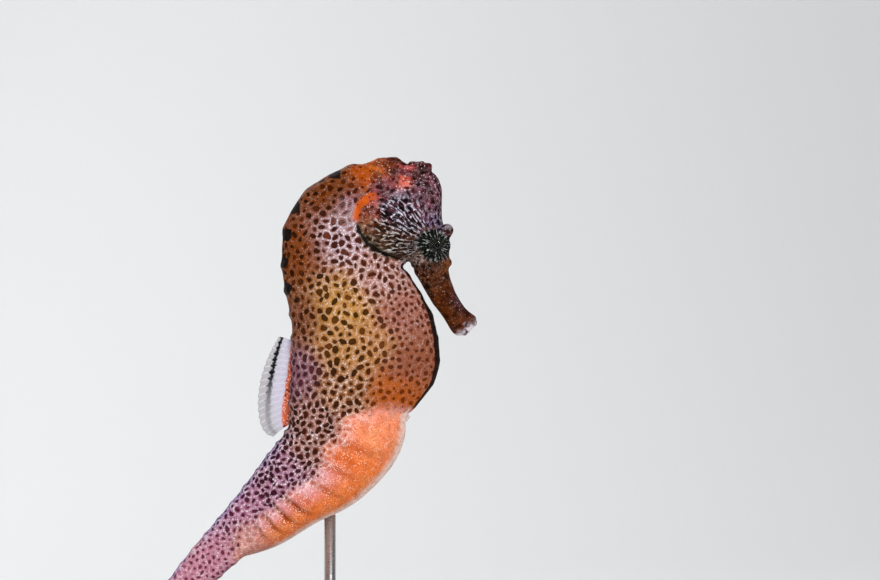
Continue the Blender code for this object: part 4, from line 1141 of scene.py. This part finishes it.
def eye_material():
    """A dark iris with pale rays, a black pupil and the pale ring round it."""
    n = Nodes("eye")
    streaks, reach, _ = eye_streaks(n)
    shade = n.noise(0.35)
    iris = n.mix(shade.step(0.3, 0.7), (0.003, 0.004, 0.003), (0.016, 0.016, 0.009))
    colour = n.mix(streaks * reach.step(0.70, 1.5, 0.0, 0.8), iris, (0.48, 0.50, 0.47))
    colour = n.mix(reach.step(0.46, 0.50) * reach.step(0.52, 0.60, 0.55, 0.0), colour, (0.13, 0.13, 0.12))
    colour = n.mix(reach.fall(0.46, 0.50), colour, (0.003, 0.004, 0.008))
    rough, normal = shade.step(0.3, 0.7, 0.40, 0.55), n.bump(streaks, 0.05)
    return n.finish(base_color=colour, roughness=rough, normal=normal, specular_ior_level=0.05)


def cornea_material():
    n = Nodes("cornea")
    film = n.noise(0.4)
    colour = n.mix(film, (0.004, 0.004, 0.004), (0.012, 0.012, 0.010))
    rough = film.step(0.3, 0.7, 0.04, 0.08)
    return n.finish(base_color=colour, roughness=rough, alpha=0.22, specular_ior_level=0.35)


def dorsal_material():
    """Pale rays in a milky sheet, a dark band with one blot to each ray, and a red beaded root."""
    n = Nodes("dorsal_fin")
    ray, reach, lower = n.split(n.attribute("fin"))
    fine = n.noise(0.35, 3)
    ridge = n.wave(ray).step(0.1, 0.95)
    colour = n.mix(reach.step(0.35, 0.8), (0.60, 0.57, 0.70), (0.52, 0.50, 0.52))
    colour = n.mix(fine.step(0.35, 0.65, 0.0, 0.3), colour, (0.38, 0.35, 0.38))
    colour = n.mix(ridge * fine.step(0.35, 0.65, 0.0, 0.6), colour, (0.74, 0.72, 0.80))
    # the band lies furthest in at its own middle, and is broader high up
    low, high = lower - 0.45, 1 - lower
    ragged_reach = reach + (fine - 0.5) * 0.16
    off = n.math("ABSOLUTE", ragged_reach - (low * low * 0.5 + 0.675))
    haze = off.step(0.03, 0.12, 0.62, 0.0) * lower.step(0.5, 0.95, 1.0, 0.5)
    colour = n.mix(haze, colour, (0.12, 0.12, 0.15))
    width = ridge * 0.050 + high * high * 0.035 + 0.018
    band = (off - width).fall(-0.01, 0.04) * lower.step(0.38, 0.72, 1.0, 0.12)
    colour = n.mix(band, colour, (0.004, 0.004, 0.006))
    # the root is broader at its lower end
    root = n.math("POWER", lower, 2.2) * 0.26 + 0.145
    coral = n.mix(n.dots(0.75, 0.9).step(0.30, 0.50), (0.26, 0.018, 0.010), (0.66, 0.135, 0.060))
    coral = n.mix(n.dots(0.46, 0.9).step(0.20, 0.40, 0.85, 0.0), coral, (0.92, 0.62, 0.52))
    colour = n.mix((ragged_reach - root).fall(-0.03, 0.03), colour, coral)
    alpha = n.max(n.max(reach.step(0.55, 0.9, 0.97, 0.80), ridge * 0.95), band)
    rough, normal = fine.step(0.3, 0.7, 0.45, 0.6), n.bump(ridge * 0.4 + fine, 0.08)
    return n.finish(base_color=colour, roughness=rough, normal=normal, alpha=alpha, specular_ior_level=0.1)


def clear_fin_material(name, tint, ray_tint, clear):
    """A sheet that lets through all but a share of clear, with rays that show more."""
    n = Nodes(name)
    ray, reach, _ = n.split(n.attribute("fin"))
    fine = n.noise(0.4, 3)
    ridge = n.wave(ray).step(0.3, 0.95)
    colour = n.mix(fine.step(0.3, 0.7, 0.0, 0.5), tint, [0.7 * part for part in tint])
    alpha = ridge * (2 * clear) + reach.step(0.0, 0.4, 5 * clear, clear)
    colour = n.mix(ridge * 0.5, colour, ray_tint)
    rough, normal = fine.step(0.3, 0.7, 0.3, 0.45), n.bump(ridge, 0.04)
    return n.finish(base_color=colour, roughness=rough, normal=normal, alpha=alpha)


def wood_material():
    """Dark wood: wavy rings along the grain, and darker pores."""
    n = Nodes("dark_wood")
    grain = n.scaled(0.16, 1, 1)
    rings = n.math("SINE", n.noise(7, 3, 0.55, at=grain) * 16 + n.split(grain)[1] * 0.9)
    pores = n.noise(0.35, at=grain)
    colour = n.mix(rings.step(-0.9, 0.9), (0.095, 0.042, 0.020), (0.185, 0.088, 0.042))
    colour = n.mix(pores.step(0.56, 0.7, 0.0, 0.65), colour, (0.035, 0.016, 0.009))
    rough, normal = pores.step(0.4, 0.65, 0.30, 0.48), n.bump(rings * 0.15 - pores * 0.6, 0.05)
    return n.finish(base_color=colour, roughness=rough, normal=normal, coat_weight=0.25)


def steel_material():
    """Steel brushed along the rod, with faint cloudy patches."""
    n = Nodes("brushed_steel")
    brush = n.noise(0.05, 3, 0.6, at=n.scaled(0.06, 0.06, 1))
    colour = n.mix(brush.step(0.3, 0.7), (0.50, 0.50, 0.51), (0.66, 0.66, 0.67))
    colour = n.mix(n.noise(4).step(0.4, 0.7, 0.0, 0.25), colour, (0.42, 0.42, 0.43))
    rough, normal = brush.step(0.3, 0.7, 0.24, 0.38), n.bump(brush, 0.01)
    return n.finish(base_color=colour, roughness=rough, normal=normal, metallic=1.0)


# ---------------------------------------------------------------- eyes, fins and stand


def keep(thing, material, slot, *nodes):
    """Gives a finished piece its material and hides the nodes that it stands for. The slot is not used."""
    thing.data.materials.clear()
    thing.data.materials.append(material)
    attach(thing, "root")
    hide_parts(*nodes)


def lathe(name, profile, sides, world=Matrix()):
    """A closed turned shape, placed by world. Its profile holds radii and heights in millimetres."""
    radii, heights = np.array(profile).T * MM
    thing = loft(name, turned(radii, heights, sides)[:, ::-1])
    thing.data.transform(world)
    thing.data.shade_smooth()
    return thing


def make_eyes():
    """Each eye: a ball with a sunk iris and pupil, under a clear cornea."""
    radius, ball, limb, sides = EYE_RADIUS / MM, EYE_RADIUS / MM - 0.05, 1.62, 72
    turn = np.linspace(0.02, math.pi - math.asin(limb / ball), 28)
    back = [(ball * math.sin(t), -ball * math.cos(t)) for t in turn]
    rim = back[-1][1]
    iris = [(1.5, -0.06), (1.3, -0.12), (1.0, -0.14), (0.75, -0.10), (0.55, -0.04)]
    pupil = [(0.48, -0.10), (0.40, -0.22), (0.2, -0.26), (0.02, -0.27)]
    front = back + [(r, rim + h) for r, h in iris + pupil]
    dome = [(radius * math.sin(t), radius * math.cos(t)) for t in np.linspace(1.0, 0.02, 24)]
    lens = [(0.02, 0.75), (1.58, 0.75)] + dome
    ball_look, cornea_look = eye_material(), cornea_material()
    for side, sign in (("right", -1), ("left", 1)):
        outward = Vector((0, sign, 0)).to_track_quat("Z", "X").to_matrix().to_4x4()
        world = Matrix.Translation(place(*EYE_AT, sign * EYE_Y)) @ outward
        keep(lathe(f"eye_ball_{side}", front, sides, world), ball_look, "eye", f"eye_{side}")
        keep(lathe(f"cornea_{side}", lens, sides, world), cornea_look, "eye", f"eye_{side}")


def sheet_faces(columns, rows):
    """Faces of a closed sheet whose two sides are grids of points."""
    count = columns * rows
    grid = np.arange(count).reshape(columns, rows)
    quads = np.stack((grid[:-1, :-1], grid[:-1, 1:], grid[1:, 1:], grid[1:, :-1]), axis=-1).reshape(-1, 4)
    loop = np.concatenate((grid[0], grid[1:, -1], grid[-1, -2::-1], grid[-2:0:-1, 0]))
    ahead = np.roll(loop, -1)
    rim = np.stack((loop, loop + count, ahead + count, ahead), axis=-1)
    return np.vstack((quads, quads[:, ::-1] + count, rim)).tolist()


def fin_sheet(name, top, end, rays, length_at, lean, spread, fold, thick):
    """A pleated fin: a thin closed sheet, each point knowing its ray, its reach and how far down it stands.

    Its root runs from top to end, and its rays turn from lean by spread degrees. The rest is in millimetres.
    """
    columns, rows = (rays - 1) * 8 + 1, 18
    share = np.linspace(0, 1, columns)[:, None]
    reach = np.linspace(-0.08, 1, rows)[None, :]
    out = np.clip(reach, 0, 1)
    ray = share * (rays - 1)
    scallops = 1 - 0.03 * np.abs(np.sin(math.pi * ray)) ** 1.5
    length = length_at(share) * scallops * MM
    angle = np.radians(lean + spread * share) + 0.10 * out**2
    root_top, root_end = np.array(place(*top)), np.array(place(*end))
    foot = root_top + (root_end - root_top) * share
    x = foot[:, 0:1] + length * reach * np.cos(angle)
    z = foot[:, 2:3] + length * reach * np.sin(angle)
    middle = fold * MM * np.cos(2 * math.pi * ray) * (0.25 + 0.75 * out)
    half = thick * MM * (1 - 0.65 * out) / 2
    verts = np.vstack([np.stack((x, middle + side * half, z), axis=-1).reshape(-1, 3) for side in (-1, 1)])
    thing = new_object(name, verts, sheet_faces(columns, rows))
    facts = np.stack(np.broadcast_arrays(ray, out, share), axis=-1).reshape(-1, 3)
    store(thing.data, "fin", np.vstack((facts, facts)))
    face_outward(thing.data)
    thing.data.shade_smooth()
    return thing


def dorsal_length(share):
    return 3.0 + 1.3 * share + 3.1 * np.sin(math.pi * share / 1.3) * (1 - share**14)


def pectoral_length(share):
    return 4.1 * (0.7 + 0.3 * np.sin(math.pi * share))


def anal_length(share):
    return 1.3 * (1 - 0.3 * share)


def make_fins():
    dorsal = fin_sheet("dorsal_fin_sheet", (-5.0, 45.4), (-5.4, 29.8), 17, dorsal_length, 158, 53, 0.05, 0.24)
    keep(dorsal, dorsal_material(), "fin", "dorsal_fin")
    clear = clear_fin_material("pectoral_fin", (0.50, 0.38, 0.40), (0.85, 0.84, 0.86), 0.028)
    top, end = (6.9, 71.4), (6.3, 67.4)
    hinge, gap_from_neck, stand_off = (place(*top) + place(*end)) / 2, 6.3 * MM, math.radians(16)
    for side, sign in (("right", -1), ("left", 1)):
        name = f"pectoral_fin_sheet_{side}"
        sheet = fin_sheet(name, top, end, 16, pectoral_length, 150, 58, 0.07, 0.14)
        out = Matrix.Translation(hinge + Vector((0, sign * gap_from_neck, 0)))
        sheet.data.transform(out @ Matrix.Rotation(-sign * stand_off, 4, "Z") @ Matrix.Translation(-hinge))
        keep(sheet, clear, "fin", f"pectoral_fin_{side}")
    anal = fin_sheet("anal_fin_sheet", (16.4, 32.0), (16.1, 30.8), 4, anal_length, -58, -16, 0.04, 0.2)
    keep(anal, clear_fin_material("anal_fin", (0.56, 0.17, 0.07), (0.66, 0.28, 0.16), 0.2), "fin", "anal_fin")


def rounded(corners, steps=7):
    """The profile through corners (radius, height, rounding), each rounded off."""
    path = []
    for k, (r, h, soft) in enumerate(corners):
        here = np.array((r, h))
        if soft == 0:
            path.append(here)
            continue
        back, ahead = (np.array(corners[m][:2]) - here for m in (k - 1, k + 1))
        a, b = here + back / np.linalg.norm(back) * soft, here + ahead / np.linalg.norm(ahead) * soft
        path += [(1 - t) ** 2 * a + 2 * t * (1 - t) * here + t * t * b for t in np.linspace(0, 1, steps)]
    return path


def make_stand():
    """A turned dark wooden foot with a groove near its lower edge, and one steel rod on a small collar."""
    foot = rounded(
        [
            (0.5, 0, 0), (32.6, 0, 0.3), (33.1, 0.6, 0.3), (33.1, 1.5, 0.15), (32.7, 1.8, 0.15),
            (33.1, 2.1, 0.15), (33.1, 5.8, 0.5), (31.9, 6.95, 0.5), (0.5, 6.95, 0),
        ]
    )
    keep(lathe("stand_foot", foot, 160), wood_material(), "stand_wood", "stand_base")
    low, high = BASE_HEIGHT + 0.3, BASE_HEIGHT + 1.7
    rod = rounded(
        [
            (0.05, low, 0), (3.95, low, 0.1), (3.95, high - 0.5, 0.3), (3.3, high, 0.3),
            (1.5, high, 0.25), (1.08, high + 0.5, 0.25), (1.08, ROD_TOP, 0), (0.05, ROD_TOP, 0),
        ]
    )
    post = lathe("stand_post", rod, 64, Matrix.Translation((ROD_AT * MM, 0, 0)))
    keep(post, steel_material(), "stand_steel", "stand_rod")


# ---------------------------------------------------------------- stage, light and camera


def make_stage():
    """A pale floor that turns up into a backdrop."""
    half_width, front, back, radius, height = 2.0, -3.0, 0.75, 0.35, 1.6
    angles = np.linspace(0, math.pi / 2, 24)
    bend = [(back - radius + radius * math.sin(a), radius - radius * math.cos(a)) for a in angles]
    profile = [(front, 0.0), *bend, (back, height)]
    verts = [(x, y, z) for y, z in profile for x in (-half_width, half_width)]
    faces = [(2 * i, 2 * i + 1, 2 * i + 3, 2 * i + 2) for i in range(len(profile) - 1)]
    stage = new_object("studio_sweep", verts, faces)
    stage.data.shade_smooth()
    stage.data.materials.append(Nodes("studio_sweep").finish(base_color=(0.90, 0.91, 0.92, 1), roughness=0.9))


def area_light(name, location, size, power):
    """A round white lamp that looks at the animal."""
    aim = Vector((0.005, 0.0, 0.085))
    data = bpy.data.lights.new(name, "AREA")
    data.shape = "DISK"
    data.size = size
    data.energy = power
    lamp = link_object(name, data)
    lamp.location = location
    lamp.rotation_mode = "QUATERNION"
    lamp.rotation_quaternion = (aim - Vector(location)).to_track_quat("-Z", "Y")


def make_light():
    area_light("key", (0.28, -0.62, 0.55), 0.30, 4.9)
    area_light("fill", (-0.55, -0.65, 0.25), 0.5, 2.2)
    area_light("back", (-0.3, 0.45, 0.6), 0.4, 2.6)
    world = bpy.data.worlds.new("studio")
    world.use_nodes = True
    sky = world.node_tree.nodes["Background"]
    sky.inputs["Color"].default_value = (1, 1, 1, 1)
    sky.inputs["Strength"].default_value = 0.13
    bpy.context.scene.world = world


def make_camera():
    """Looks level at the animal's right side, framed as the photo is."""
    data = bpy.data.cameras.new("camera")
    distance, frame_width = 0.5, 167.2 * MM
    data.sensor_width = 36.0
    data.lens = data.sensor_width * distance / frame_width
    data.clip_start = 0.01
    camera = link_object("camera", data)
    camera.location = place(22.8, 55.1) - Vector((0, distance, 0))
    camera.rotation_euler = (math.pi / 2, 0, 0)
    bpy.context.scene.camera = camera


FLESH = (
    "neck", "trunk_chest", "trunk_belly", "tail_1", "tail_2", "tail_3", "tail_4", "tail_5", "tail_6",
    "brood_pouch", "head", "snout", "coronet", "gill_cover_left", "gill_cover_right",
)
skin = make_skin()
pattern_skin(skin, shape_skin(skin))
keep(skin, skin_material(), "skin_tan", *FLESH)
make_eyes()
make_fins()
make_stand()
make_stage()
make_light()
make_camera()
bpy.context.scene.view_settings.view_transform = "Standard"
